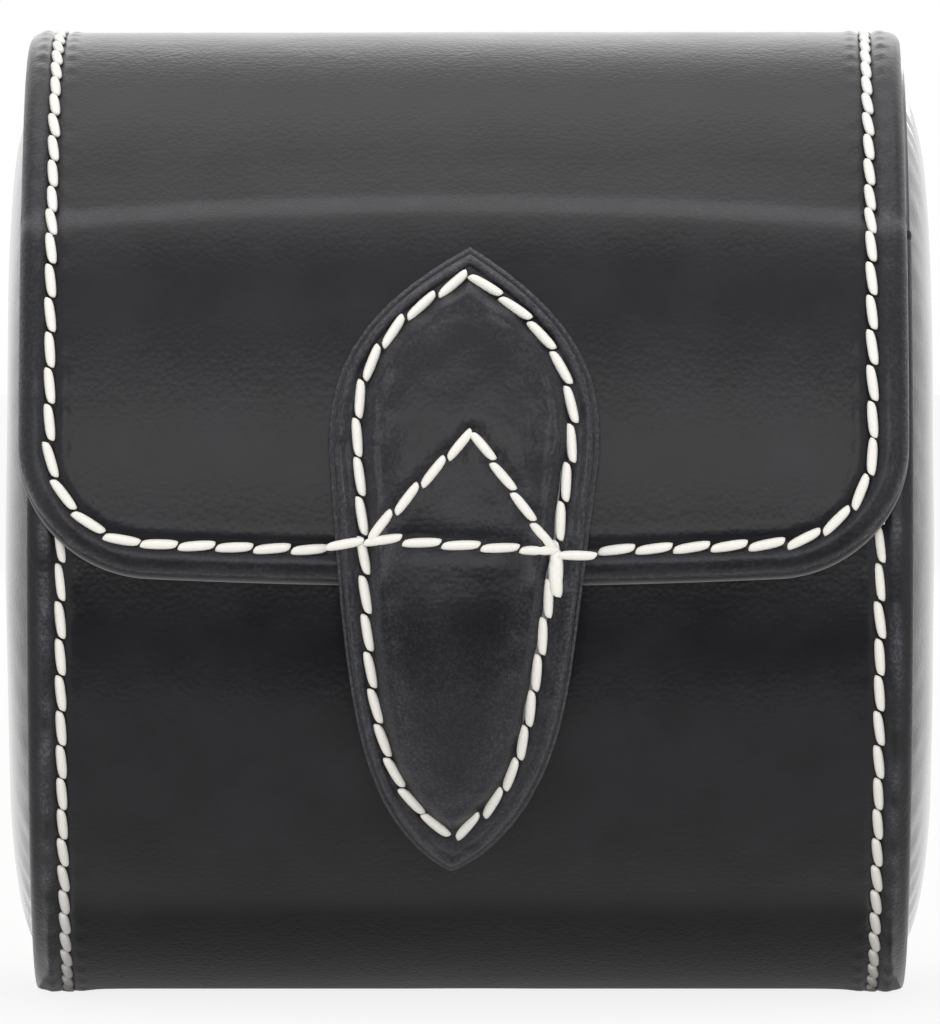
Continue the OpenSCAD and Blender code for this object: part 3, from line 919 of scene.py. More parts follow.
def end_profile(drum):
    """The end leather's section: the pillow, the valley inside the rim, the rim and its flange."""
    valley_x = BODY_HALF - drum.valley_depth
    valley_r = END_R - 1.2 * MM
    sag = END_APEX - valley_x
    out = valley_r * np.sin(np.linspace(0, math.pi / 2, 42))
    pillow = [(END_APEX - sag * (r / valley_r) ** drum.pillow_power, r) for r in out]
    rim_x = BODY_HALF - 0.12 * MM
    turned_in = BODY_R - drum.rim_rounding
    rim = [
        (valley_x + 0.06 * MM, valley_r + 0.18 * MM), (valley_x + 0.24 * MM, valley_r + 0.32 * MM),
        (rim_x - 0.28 * MM, valley_r + 0.42 * MM), (rim_x - 0.07 * MM, valley_r + 0.55 * MM),
        (rim_x, valley_r + 0.75 * MM), (rim_x - 0.05 * MM, turned_in - 0.05 * MM),
        (rim_x - 0.35 * MM, turned_in + 0.12 * MM), (rim_x - 0.9 * MM, turned_in + 0.45 * MM),
        (rim_x - 1.6 * MM, BOARD_R - 0.2 * MM), (rim_x - 2.3 * MM, BOARD_R - 0.02 * MM),
        (TUBE_HALF, BOARD_R - 0.02 * MM), (TUBE_HALF, END_R),
    ]
    inner_r = valley_r - 0.2 * MM
    inside = [
        (END_APEX - drum.panel_thickness - sag * (r / valley_r) ** drum.pillow_power, r)
        for r in inner_r * np.sin(np.linspace(math.pi / 2, 0, 24))
    ]
    return pillow + rim + [(valley_x - drum.panel_thickness, END_R)] + inside


def make_end_leather(name, side, drum):
    """A padded end: its leather puckers where it is drawn into the rim."""
    turns_of_pucker = 58

    def relief(grid, turn, along, out):
        """Soft dents, folds at the rim, and the low edge under the lid."""
        soft = roughness_of_hand(grid, 13 * MM, 5 + side)
        fine = roughness_of_hand(grid, 3.4 * MM, 9 + side)
        face = (along > TUBE_HALF + 2 * MM) * (1 - ease((out - END_R + 1.3 * MM) / (0.6 * MM)))
        rim_zone = bump(out - END_R + 3.2 * MM, 2.0 * MM)
        folds = np.cos(np.radians(turn) * turns_of_pucker + 2.2 * soft)
        rise = 0.13 * MM * soft + rim_zone * (0.09 * MM * folds + 0.11 * MM * fine)
        under_lid = ease((turn - HINGE_A - 0.2) / 0.6)
        under_lid = under_lid * ease((front_wall_a(drum) - 0.2 - turn) / 0.6)
        lowered = np.minimum(out, BOARD_R - (BOARD_R - LID_SEAT_R) * under_lid)
        grid = drawn_to_axis(grid, lowered / np.maximum(out, TINY))
        grid[..., 0] += side * rise * face * ease((END_R - out) / (8 * MM) + 0.35)
        return grid

    glazed = finish_named("glazed_calf_leather")
    return make_turned(name, end_profile(drum), side, glazed, relief)


def make_mouth_edging(drum):
    """The strip of leather folded over the front edge of the mouth."""
    inner_r = LINING_R - drum.suede_thickness
    half = drum.edging_width / 2
    middle = MOUTH_A + math.degrees(half / BODY_R)
    turn = np.linspace(0, 2 * math.pi, 40, endpoint=False)
    across = half * np.sign(np.cos(turn)) * np.abs(np.cos(turn)) ** 0.6
    up = np.sign(np.sin(turn)) * np.abs(np.sin(turn)) ** 0.35
    tip = 0.5 * MM
    x = steps_from_edge(BODY_HALF, tip, 6 * MM, 0.8 * MM, 2 * MM)
    shrink = 1 - 0.9 * round_down(BODY_HALF - np.abs(x), tip) / tip
    grid = []
    for place, size in zip(x, shrink):
        low_r = BOARD_R - 0.05 * MM if abs(place) > TUBE_HALF else inner_r
        middle_r, reach = (BODY_R + low_r) / 2, (BODY_R - low_r) / 2
        r = middle_r + reach * up
        around_middle = middle + np.degrees(across / r) * size
        grid.append(round_axis(middle_r + (r - middle_r) * size, around_middle, place))
    grid = np.array(grid)
    grid[..., 1] += 0.05 * MM * roughness_of_hand(grid, 5 * MM, 12)
    around = np.concatenate([grid, grid[:, :1]], 1)
    rows, columns = around.shape[:2]
    faces = grid_faces(rows, columns).tolist()
    last = (rows - 1) * columns
    faces += [list(range(columns - 1)), list(range(last, last + columns - 1))[::-1]]
    return make_piece("mouth_edging_leather", around, faces, leather())


def make_drum_lining(drum):
    """Suede inside the drum. At the back it turns out over the wall's edge, up to the hinge."""
    inner_r = LINING_R - drum.suede_thickness
    back = 360 + HINGE_A - HINGE_GAP_A
    turns = np.linspace(front_wall_a(drum), back - 1.2, 210)
    path = [(inner_r + 0.02 * MM, t) for t in turns]
    corner = 1.0 * MM
    for k in np.linspace(0, math.pi / 2, 8)[1:]:
        path.append((inner_r + corner * (1 - math.cos(k)), back - 0.55 + 0.95 * math.sin(k)))
    top = BOARD_R - 0.35 * MM
    path += [(r, back + 0.42) for r in np.linspace(inner_r + 1.6 * MM, top, 8)]
    r, t = np.array(path).T
    yz = np.stack([r * np.cos(np.radians(t)), r * np.sin(np.radians(t))], -1)
    leg = np.gradient(yz, axis=0)
    leg /= np.linalg.norm(leg, axis=1)[:, None]
    behind = np.stack([leg[:, 1], -leg[:, 0]], -1)
    half, edge, end = TUBE_HALF - 0.05 * MM, 0.3 * MM, 0.6 * MM
    x = steps_from_edge(half, edge, 2 * MM, 0.8 * MM, 2.4 * MM)
    rows = np.arange(len(path))
    from_end = np.minimum(rows, rows[::-1])[:, None] * end
    opening = np.minimum(rounded_share(half - np.abs(x), edge)[None], ease(from_end / end))
    front = np.zeros((len(path), len(x), 3))
    front[..., 0] = x[None]
    front[..., 1] = yz[:, :1]
    front[..., 2] = AXIS_Z + yz[:, 1:]
    rear = front.copy()
    soft = np.abs(0.12 * MM * roughness_of_hand(front, 9 * MM, 21) * opening)
    for face, away in ((rear, drum.suede_thickness * opening), (front, -soft)):
        face[..., 1] += behind[:, :1] * away
        face[..., 2] += behind[:, 1:] * away
    return make_layer("drum_lining_suede", front, rear, suede())


def make_end_lining(name, side, drum):
    """A suede disc over a thin pad, on the inside of an end. Above the walls it fills the mouth."""
    puff = 0.9 * MM
    back, front = TUBE_HALF - 0.03 * MM, INNER_HALF
    flat_r, edge = LINING_R - 1.5 * MM, END_R - 0.05 * MM
    profile = [
        (front - puff * (1 - (r / flat_r) ** 4), r)
        for r in flat_r * np.sin(np.linspace(0, math.pi / 2, 26))
    ]
    profile += [
        (front, LINING_R - 0.7 * MM), (front, edge - 0.3 * MM),
        (front + 0.09 * MM, edge - 0.09 * MM), (front + 0.3 * MM, edge),
        (back - 0.1 * MM, edge), (back, edge - 0.2 * MM),
    ]
    profile += [(back, r) for r in edge * np.sin(np.linspace(math.pi / 2, 0, 12))[1:]]

    def relief(grid, turn, along, out):
        """Room for the lining below the mouth, and dents where the pad shows."""
        in_mouth = ease((turn - HINGE_A) / 0.8) * ease((MOUTH_A - turn) / 0.8)
        limit = LINING_R - drum.suede_thickness - 0.03 * MM
        limit = limit + (edge - limit) * in_mouth
        grid = drawn_to_axis(grid, np.minimum(out, limit) / np.maximum(out, TINY))
        shown = (along < front + 0.05 * MM) * (out < LINING_R - 2 * MM)
        grid[..., 0] += side * 0.1 * MM * roughness_of_hand(grid, 8 * MM, 30 + side) * shown
        return grid

    return make_turned(name, profile, side, suede(), relief)


# ---------------------------------------------------------------- the flap


def flap_radius(turn, x, flap, drawn=True):
    """Radius of the flap's outer surface. The leather creases more sharply than the board under
    it, in a line that is bowed up in the middle and swells softly below."""
    lid = BODY_R + (LID_R - BODY_R) * ease((turn - HINGE_A) / math.degrees(flap.hinge_ramp))
    step = FRONT_R - LID_R
    if not drawn:
        ramp = math.degrees(flap.step_ramp)
        return lid + step * ease((turn - MOUTH_A + ramp) / ramp) + 0 * x
    middle = crease_turn(x, flap)
    ramp = math.degrees(flap.crease_ramp)
    slow = ease((turn - middle + 2 * ramp) / (3 * ramp))
    sharp = ease((turn - middle) / ramp + 0.5)
    swell = flap.crease_swell * bump(turn - middle - 1.4 * ramp, 7.0) * (1 - (x / FLAP_HALF) ** 6)
    return lid + step * ((1 - flap.crease_share) * slow + flap.crease_share * sharp) + swell


def crease_turn(x, flap):
    """Angle round the axis at which the flap's leather creases."""
    bow = math.degrees(flap.crease_bow) * (1 - (x / FLAP_HALF) ** 2)
    return MOUTH_A + math.degrees(flap.crease_low) - bow


def flap_turn(v):
    """Angle round the axis at a distance up from the hem."""
    return HEM_A - np.degrees(v / FRONT_R)


def flap_spots(corner):
    """Places over the flap, as distances across it and up from its hem."""
    half = FLAP_HALF
    turn = np.linspace(0, math.pi / 2, 34)
    up = np.arange(corner + 0.6 * MM, FLAP_REACH - 1.4 * MM, 0.62 * MM)
    last = FLAP_REACH - 0.9 * MM * (1 - np.cos(np.linspace(math.pi / 2, 0, 6)))
    v = np.concatenate([corner * (1 - np.cos(turn)), up, last])
    straight = np.full(len(up) + len(last), half)
    reach = np.concatenate([half - corner + corner * np.sin(turn), straight])
    share = steps_from_edge(half, 1.3 * MM, 6.6 * MM)[None] / half
    x = share * reach[:, None]
    return x, v[:, None] + 0 * x


def inside_flap(x, v, half, hem, corner):
    """How far a spot is inside the edge of a plate with two rounded lower corners."""
    from_side, from_hem = half - np.abs(x), v - hem
    in_corner = (from_side < corner) & (from_hem < corner)
    rounded = corner - np.hypot(corner - from_side, corner - from_hem)
    return np.where(in_corner, rounded, np.minimum(from_side, from_hem))


def flap_place(x, v, depth, flap, drawn=True):
    """A spot of the flap in space, at a depth below its outer surface."""
    risen = v + flap.hem_rise * (x / FLAP_HALF) ** 2 * (1 - ease(v / (45 * MM)))
    turn = flap_turn(risen)
    shift = -flap.drift * ease((turn - HINGE_A) / 70)
    return round_axis(flap_radius(turn, x, flap, drawn) - depth, turn, x + shift)


def flap_seam(flap):
    """The seam down one side of the flap, along its hem and up the other, laid out flat."""
    half = FLAP_HALF - flap.side_seam
    corner = flap.corner - flap.side_seam
    turn = np.linspace(0, math.pi / 2, 30)
    bend = np.stack([
        half - corner + corner * np.cos(turn), flap.hem_seam + corner - corner * np.sin(turn),
    ], -1)
    right = np.concatenate([[[half, FLAP_REACH - 0.5 * MM]], bend])
    return np.concatenate([right, (right * [-1, 1])[::-1]]) - [flap.seam_drift, 0]


def make_flap_leather(flap, stitch):
    """The flap's outer leather: turned edges, a sewn border, the crease over the mouth."""
    x, v = flap_spots(flap.corner)
    inward = inside_flap(x, v, FLAP_HALF, 0, flap.corner)
    at_hinge = ease((v - FLAP_REACH + 13 * MM) / (3 * MM))
    rounding = flap.hem_rounding + (0.4 * MM - flap.hem_rounding) * at_hinge
    inward_all = np.minimum(inward, FLAP_REACH - v)
    board = LINING_DEPTH - flap.leather
    border = 1 - ease((inward - flap.board_inset + 0.8 * MM) / (0.7 * MM))
    thickness = flap.leather + board * border * (1 - at_hinge)
    outer, inner = layer_depths([(inward_all, rounding)], thickness)
    path = flap_seam(flap)
    total = stitches_in(run_of(path), stitch.pitch)
    distance, count = near_seam(np.stack([x, v], -1), path, total)
    # The seam, a ridge along the border, dents, and wrinkles at the crease
    flat = flap_place(x, v, 0, flap)
    hand = roughness_of_hand(flat, 2.6 * MM, 3)
    border_ridge = bump(inward - 1.9 * MM, 0.7 * MM)
    rise = pulled_in(distance, count, stitch) + border_ridge * (0.10 + 0.09 * hand) * MM
    rise += 0.10 * MM * roughness_of_hand(flat, 24 * MM, 4)
    turn = flap_turn(v)
    at_crease = bump(turn - crease_turn(x, flap), 2.2)
    rise += 0.10 * MM * at_crease * roughness_of_hand(flat, 3.0 * MM, 6)
    rise *= ease(inward_all / (1.0 * MM))
    faces = [flap_place(x, v, outer - rise, flap), flap_place(x, v, inner, flap)]
    # The inner face follows the board, which creases less, and stays outside the lining
    drawn = axis_distance(faces[1])
    board_r = axis_distance(flap_place(x, v, inner, flap, False))
    lining_r = axis_distance(flap_place(x, v, LINING_DEPTH + 0.15 * MM, flap, False))
    follow = np.where(inward_all > 1.5 * MM, board_r / drawn, np.maximum(lining_r / drawn, 1))
    faces[1] = drawn_to_axis(faces[1], follow)
    # Painted highlights: a line along the turned edge, a band just above the crease, and the ridge
    # along the border
    line = bump(turn - crease_turn(x, flap) + 0.4, 1.3)
    painted_highlight = 0.8 * bump(inward, 0.45 * MM) + 0.24 * line * np.clip(0.8 + 0.6 * hand, 0, 2)
    painted_highlight += 0.14 * bump(inward - 1.7 * MM, 1.3 * MM) * (1 + 0.6 * hand)
    return make_layer("flap_leather_outer", *faces, leather(), painted_highlight)


def make_flap_lining(flap, drum):
    """Suede inside the flap. Its edge shows below the hem, and it runs on to the hinge."""
    x, v = flap_spots(flap.corner)
    v = v - HEM_SHOW * (1 - v / FLAP_REACH)
    inward = np.minimum(inside_flap(x, v + HEM_SHOW, FLAP_HALF, 0, flap.corner), FLAP_REACH - v)
    outer, inner = layer_depths([(inward, 0.3 * MM)], drum.suede_thickness)
    turn = flap_turn(v)
    on_lid = ease((turn - HINGE_A - 1.5) / 9)
    under = flap_place(x, v, LINING_DEPTH, flap, False)
    radius = axis_distance(under)
    seat = BOARD_R + 0.12 * MM
    radius = np.where(turn < HINGE_A + 14, seat + (radius - seat) * on_lid, radius)
    hand = 0.06 * MM * roughness_of_hand(under, 8 * MM, 41)
    real_turn = np.degrees(np.arctan2(under[..., 2] - AXIS_Z, under[..., 1])) % 360
    thinner = 1 - 0.55 * (1 - on_lid)
    soft = 0.5 * np.abs(hand) * ease(inward / MM)
    faces = [
        round_axis(radius - depth, real_turn, under[..., 0])
        for depth in (outer, inner * thinner + soft)
    ]
    # A painted highlight along the lining's edge, where it shows below the hem
    return make_layer("flap_lining_suede", *faces, suede(), 0.5 * bump(inward, 0.25 * MM))


def flap_seams(flap, tab, stitch):
    """The flap's seam in two runs that end at the tab, each with its own whole stitches."""
    path = flap_seam(flap)
    line, along = evenly(path, 0.4 * MM)
    total = stitches_in(run_of(path), stitch.pitch)
    share = along / along[-1]
    edge, above_corners = tab.width / 2 - 0.3 * MM, 12 * MM
    seams = []
    for side in (1, -1):
        run = (side * line[:, 0] > edge) | (line[:, 1] > above_corners) & (side * line[:, 0] > 0)
        x, v = line[run].T
        count = round((share[run].max() - share[run].min()) * total)
        place = flap_place(x, v, 0.03 * MM, flap)
        seams.append((place, facing_out(flap_turn(v)), count, 1.0, 1.0))
    return seams


# ---------------------------------------------------------------- the tab

# How much further the two points draw in than the sides, when the outline is narrowed
POINT_SHARE = 1.4
# The taper of the long lower end, and how late it closes
OUTLINE_TAPER, OUTLINE_FULLNESS = 0.32, 5.8
SEAM_TAPER, SEAM_FULLNESS = 0.38, 8.0


def leaf(z, half, top, tip, widest, taper, fullness):
    """Half the width of a pointed leaf at a height. Its long lower end tapers, and then closes."""
    up = z >= widest
    t = np.clip(np.abs(z - widest) / np.where(up, top - widest, widest + tip), 0, 1)
    return half * np.where(up, 1 - t**2.6, (1 - taper * t) * (1 - t**fullness) ** 0.8)


def tab_half_width(z, inset, tab):
    """Half the tab's width at a height from the axis, narrowed by an inset all round."""
    half, point = tab.width / 2 - inset, POINT_SHARE * inset
    top, tip = tab.top - point, tab.tip - point
    return leaf(z, half, top, tip, tab.widest, OUTLINE_TAPER, OUTLINE_FULLNESS)


def seam_half_width(z, tab):
    """Half the distance between the tab's side seams at a height."""
    half = tab.seam_width / 2
    return leaf(z, half, tab.seam_top, tab.seam_tip, tab.seam_widest, SEAM_TAPER, SEAM_FULLNESS)


def seam_middle(z, tab):
    """Where the middle between the side seams is, across the tab."""
    return -tab.seam_drift * bump(z + 16 * MM, 13 * MM)


def down_the_tab(top, tip, widest, steps=90):
    """Heights from the upper point to the lower one, close together near both."""
    t = np.sin(np.linspace(math.pi / 2, 0, steps))
    return np.concatenate([widest + (top - widest) * t, widest - (widest + tip) * t[-2::-1]])


def tab_outline(tab):
    """The tab's whole outline, laid out flat."""
    z = down_the_tab(tab.top, tab.tip, tab.widest)
    right, left = (np.stack([side * tab_half_width(z, 0, tab), z], -1) for side in (1, -1))
    return np.concatenate([right, left[::-1]])


def tab_seam(side, tab):
    """The seam down one side of the tab, laid out flat."""
    z = down_the_tab(tab.seam_top, tab.seam_tip, tab.seam_widest)
    return np.stack([side * seam_half_width(z, tab) + seam_middle(z, tab), z], -1)


def tab_spots(inset, tab):
    """Places over the tab, as distances across it and up from the axis."""
    point = POINT_SHARE * inset
    z = down_the_tab(tab.top - point, tab.tip - point, tab.widest, 76)[::-1, None]
    half = tab.width / 2 - inset
    share = steps_from_edge(half, 0.6 * MM, 5.0 * MM, 0.26 * MM, 0.7 * MM)[None] / half
    return share * tab_half_width(z, inset, tab), z + 0 * share


def tab_place(x, z, height, tab):
    """A spot of the tab in space, at a height above the flap's front. Below the hem the tongue
    leans in until its point meets the body."""
    c, s = math.cos(tab.lean), math.sin(tab.lean)
    wide, up = x * c + z * s, z * c - x * s
    radius = FRONT_R + height
    y = -np.sqrt(radius**2 - up**2)
    span = math.asin(tab.tip / FRONT_R) - math.asin(HEM_DROP / FRONT_R)
    lean = math.asin((FRONT_R - BODY_R - 0.4 * MM) / (FRONT_R * math.sin(span)))
    a = lean * ease((-HEM_DROP - up) / (5 * MM))
    dy, dz = y - HEM_Y, up + HEM_DROP
    y = HEM_Y + dy * np.cos(a) - dz * np.sin(a)
    up = -HEM_DROP + dy * np.sin(a) + dz * np.cos(a)
    belly = tab.belly * bump(z + 20 * MM, 11 * MM)
    return np.stack([wide - tab.drift + belly, y, AXIS_Z + up], -1)


def triangle(tab, flap):
    """The stitched triangle's two legs, and its base on the flap's bottom seam, laid out flat. Its
    corners are a little uneven, as the needle left them."""
    base = flap.hem_seam - HEM_DROP
    apex = [0.8 * MM, base + tab.triangle_height + 0.7 * MM]
    left = [-tab.triangle_half, base + 1.0 * MM]
    right = [tab.triangle_half - 0.2 * MM, base + 0.35 * MM]
    far_left, far_right = [-tab.width / 2, base - 0.05 * MM], [tab.width / 2, base - 0.25 * MM]
    lines = [left, apex], [apex, right], [far_left, left, right, far_right]
    return [np.array(line) for line in lines]


def tab_height(spots, tab, flap, stitch):
    """Height of the tab's outer leather above the backing: a margin with a line pressed round it,
    the sewn groove, and the padded middle that the triangle holds down."""
    x, z = spots[..., 0], spots[..., 1]
    from_edge, _ = near_seam(spots, tab_outline(tab), 1)

    def near(path):
        """Distances from a seam, and counts of stitches along it."""
        return near_seam(spots, path, stitches_in(run_of(path), stitch.pitch))

    on_right = x >= seam_middle(z, tab)
    sides = zip(near(tab_seam(1, tab)), near(tab_seam(-1, tab)))
    seam_distance, count = (np.where(on_right, right, left) for right, left in sides)
    inside = np.abs(x - seam_middle(z, tab)) < seam_half_width(z, tab)
    inside &= (z < tab.seam_top) & (z > -tab.seam_tip)
    within = np.where(inside, seam_distance, 0)
    held = 0
    for path in triangle(tab, flap):
        d, n = near(path)
        held = np.maximum(held, bump(d, 0.9 * MM) * (0.85 + 0.15 * np.cos(2 * math.pi * n)))
    base = flap.hem_seam - HEM_DROP
    triangle_reach = (1 - (z - base) / tab.triangle_height) * tab.triangle_half
    tucked = ease((z - base) / (2 * MM)) * ease((triangle_reach - np.abs(x)) / (2.5 * MM))
    # The margin with its pressed line, the seam, the welt inside it and the padding
    height = tab.margin + 0 * x
    height += 0.10 * MM * bump(from_edge - tab.backing_show - 0.55 * MM, 0.3 * MM)
    height -= 0.20 * MM * bump(from_edge - tab.backing_show - 1.15 * MM, 0.2 * MM)
    height += pulled_in(seam_distance, count, stitch) * 1.15
    height += np.where(inside, 0.22 * MM * bump(seam_distance - 1.5 * MM, 0.42 * MM), 0)
    puffed = 1 - np.exp(-((within / (2.6 * MM)) ** 1.5))
    fuller = tab.tongue_puff * bump(z + 19 * MM, 14 * MM)
    height += (tab.puff + fuller) * puffed * (1 - 0.5 * held - 0.22 * tucked)
    return height, from_edge, within, seam_distance


def close_rim(inward):
    """Sets a distance inward to 0 along a grid's border, and marks that border."""
    rim = np.ones(inward.shape, bool)
    rim[1:-1, 1:-1] = False
    inward[rim] = 0
    return rim


def make_tab_leather(tab, flap, stitch):
    """The tab's outer leather, one puffed piece from its upper point to the tip of the tongue."""
    x, z = tab_spots(tab.backing_show, tab)
    spots = np.stack([x, z], -1)
    height, from_edge, within, seam_distance = tab_height(spots, tab, flap, stitch)
    inward = np.maximum(from_edge - tab.backing_show, 0)
    rim = close_rim(inward)
    flat = tab_place(x, z, 0, tab)
    hand = roughness_of_hand(flat, 1.9 * MM, 51)
    soft = roughness_of_hand(flat, 5.0 * MM, 52)
    crumple = (bump(seam_distance - 1.7 * MM, 1.6 * MM) + 0.3) * hand + 0.4 * soft
    rise = tab.crumple * crumple * ease(inward / (0.8 * MM))
    lowest = 0.02 * MM + 0.45 * MM * (1 - ease(inward / (0.1 * MM)))
    top = np.maximum(height + rise - round_down(inward, 0.65 * MM), lowest) + BACKING_THICKNESS
    padding = 1.2 * MM * ease((from_edge - 3.9 * MM) / (0.5 * MM)) * ease(within / (0.6 * MM))
    under = BACKING_THICKNESS + padding + (1 - rounded_share(inward, 0.4 * MM)) * 0.3 * MM
    under = np.where(rim, top, under)
    faces = [tab_place(x, z, top, tab), tab_place(x, z, under, tab)]
    # Painted highlights: lines along the edge and the pressed line, a speckled band beside the
    # seam, and a painted lightening over the whole tab that grows down the tongue
    painted_highlight = 0.5 * bump(inward, 0.35 * MM) + 0.16 * bump(inward - 0.6 * MM, 0.25 * MM)
    painted_highlight += 0.16 * bump(seam_distance - 1.9 * MM, 1.8 * MM) * np.clip(1 + 0.8 * hand, 0, 2)
    painted_highlight += (0.05 + 0.05 * ease(-z / (9 * MM))) * np.clip(1 + soft, 0, 2)
    return make_layer("tab_leather_padded", *faces, leather(), painted_highlight)


def make_tab_backing(tab):
    """The tab's backing leather, whose edge shows round the outer leather, lightened by a painted
    highlight.
    """
    x, z = tab_spots(0.0, tab)
    inward, _ = near_seam(np.stack([x, z], -1), tab_outline(tab), 1)
    close_rim(inward)
    outer, inner = layer_depths([(inward, 0.4 * MM)], BACKING_THICKNESS)
    hand = roughness_of_hand(tab_place(x, z, 0, tab), 2.4 * MM, 61) * ease(inward / MM)
    inner = inner - 0.04 * MM * np.minimum(hand, 0)
    faces = [tab_place(x, z, BACKING_THICKNESS - depth, tab) for depth in (outer, inner)]
    # A painted highlight along the backing's edge
    painted_highlight = 0.7 * bump(inward, 0.4 * MM)
    return make_layer("tab_backing_leather", *faces, leather(), painted_highlight)


def tab_seams(tab, flap, stitch):
    """The seam along both sides of the tab, the triangle, and the thick stitch that ties it off."""
    base = flap.hem_seam - HEM_DROP
    tied = float(seam_half_width(base, tab) + seam_middle(base, tab)) + 0.15 * MM
    lines = [(tab_seam(side, tab), 1.0, 1.0) for side in (-1, 1)]
    lines += [(path, 0.95, 1.0) for path in triangle(tab, flap)]
    lines += [(np.array([[tied, base - 0.5 * MM], [tied - 0.1 * MM, base - 2.9 * MM]]), 1.35, 3.0)]
    seams = []
    for path, girth, stretch in lines:
        spots, _ = evenly(path, 0.3 * MM)
        height = tab_height(spots[None], tab, flap, stitch)[0][0]
        smooth = np.convolve(np.pad(height, 6, mode="edge"), np.ones(13) / 13, "valid")
        lift = BACKING_THICKNESS + smooth + 0.36 * MM + (0.15 * MM if girth > 1 else 0)
        place, further = (tab_place(*spots.T, lift + more, tab) for more in (0, MM))
        count = stitches_in(run_of(path), stitch.pitch)
        seams.append((place, (further - place) / MM, count, girth, stretch))
    return seams


# ---------------------------------------------------------------- the cushion

# The blank's size as a share of the cushion's, the solver's steps, and the gathers round an end
BLANK_SHARE = 0.93
CLOTH_STEPS = 15
END_GATHERS = 34


def cushion_blank(scale):
    """A rounded block a little smaller than the cushion, ready to be stuffed."""
    lo = np.min([low(node) for node in CUSHION_NODES], axis=0)
    hi = np.max([high(node) for node in CUSHION_NODES], axis=0)
    middle, half = (lo + hi) / 2, (hi - lo) / 2
    rings, steps = 40, 96
    # Powers under 1 square the round section, and leave each end nearly flat
    section, end = 0.5, 0.22

    def squared(values, power):
        """Values from -1 to 1, drawn out towards both."""
        return np.sign(values) * np.where(np.abs(values) > TINY, np.abs(values), 0) ** power

    u = np.linspace(-math.pi / 2, math.pi / 2, rings + 1)[:, None]
    t = np.linspace(0, 2 * math.pi, steps, endpoint=False)[None]
    size = squared(np.cos(u), end)
    grid = np.stack(np.broadcast_arrays(
        squared(np.sin(u), end),
        squared(np.cos(t), section) * size,
        squared(np.sin(t), section) * size,
    ), -1) * half * scale + middle
    return np.concatenate([grid, grid[:, :1]], 1), middle, half


def stuffed(piece, cushion):
    """Swells a piece with the cloth solver, and keeps the swelling within its limit."""
    remesh = piece.modifiers.new("cells", "REMESH")
    remesh.mode, remesh.voxel_size = "VOXEL", cushion.voxel
    mesh = worked_out(piece)
    piece.modifiers.clear()
    piece.data = mesh
    before = points_of(mesh)
    cloth = piece.modifiers.new("stuffing", "CLOTH")
    cloth.settings.use_pressure = True
    cloth.settings.uniform_pressure_force = cushion.pressure
    cloth.settings.effector_weights.gravity = 0
    cloth.settings.quality = 6
    cloth.settings.tension_stiffness = 25
    cloth.settings.compression_stiffness = 25
    scene = bpy.context.scene
    for step in range(1, CLOTH_STEPS + 1):
        scene.frame_set(step)
    shown = piece.evaluated_get(bpy.context.evaluated_depsgraph_get())
    move = points_of(shown.data) - before
    piece.modifiers.clear()
    scene.frame_set(1)
    far = np.linalg.norm(move, axis=1, keepdims=True)
    move_points(mesh, before + move * np.minimum(1, cushion.swell / np.maximum(far, TINY)))


def fit_cushion(points, middle, half, drum, cushion, inset=0.0):
    """Fits the stuffed form to the cushion's box, and its lower corners to the round lining."""
    lo, hi = points.min(0), points.max(0)
    points = (points - (lo + hi) / 2) / ((hi - lo) / 2) * (half - inset) + middle
    limit = LINING_R - drum.suede_thickness - cushion.clearance - inset
    return drawn_to_axis(points, np.minimum(1, limit / np.maximum(axis_distance(points), TINY)))


def make_cushion(drum, cushion):
    """The loose cushion: a stuffed suede cover with a drawn seam at each end, over its foam."""
    grid, middle, half = cushion_blank(BLANK_SHARE)
    faces = grid_faces(*grid.shape[:2]).tolist()
    cover = make_piece("cushion_cover_suede", grid, faces, suede())
    stuffed(cover, cushion)
    soften = cover.modifiers.new("soften", "SUBSURF")
    soften.levels = soften.render_levels = 1
    mesh = worked_out(cover)
    cover.modifiers.clear()
    cover.data = mesh
    points = fit_cushion(points_of(mesh), middle, half, drum, cushion)
    foam_points = fit_cushion(points, middle, half, drum, cushion, 1.1 * MM)
    seam_at = half[0] - cushion.seam_inset
    from_seam = np.abs(np.abs(points[:, 0] - middle[0]) - seam_at)
    out = points - middle
    out[:, 0] = 0
    radial = np.linalg.norm(out, axis=1)
    facing = ease((radial - 0.45 * half[2]) / (0.3 * half[2]))
    turn = np.arctan2(out[:, 2], out[:, 1])
    gathers = np.cos(turn * END_GATHERS + 3 * roughness_of_hand(points, 15 * MM, 71))
    drawn = -0.75 * MM * bump(from_seam, 1.1 * MM)
    drawn = (drawn + 0.16 * MM * gathers * bump(from_seam, 3.2 * MM)) * facing
    creases = 0.22 * MM * roughness_of_hand(points, 9 * MM, 72)
    unit = out / np.maximum(radial, TINY)[:, None]
    move_points(mesh, points + unit * (drawn + np.minimum(creases, 0))[:, None])
    mesh.shade_smooth()
    foam_mesh = mesh.copy()
    move_points(foam_mesh, foam_points)
    foam_mesh.materials.clear()
    foam_mesh.materials.append(finish_named("open_cell_foam"))
    return cover, add_object("cushion_foam", foam_mesh)


# ---------------------------------------------------------------- operators


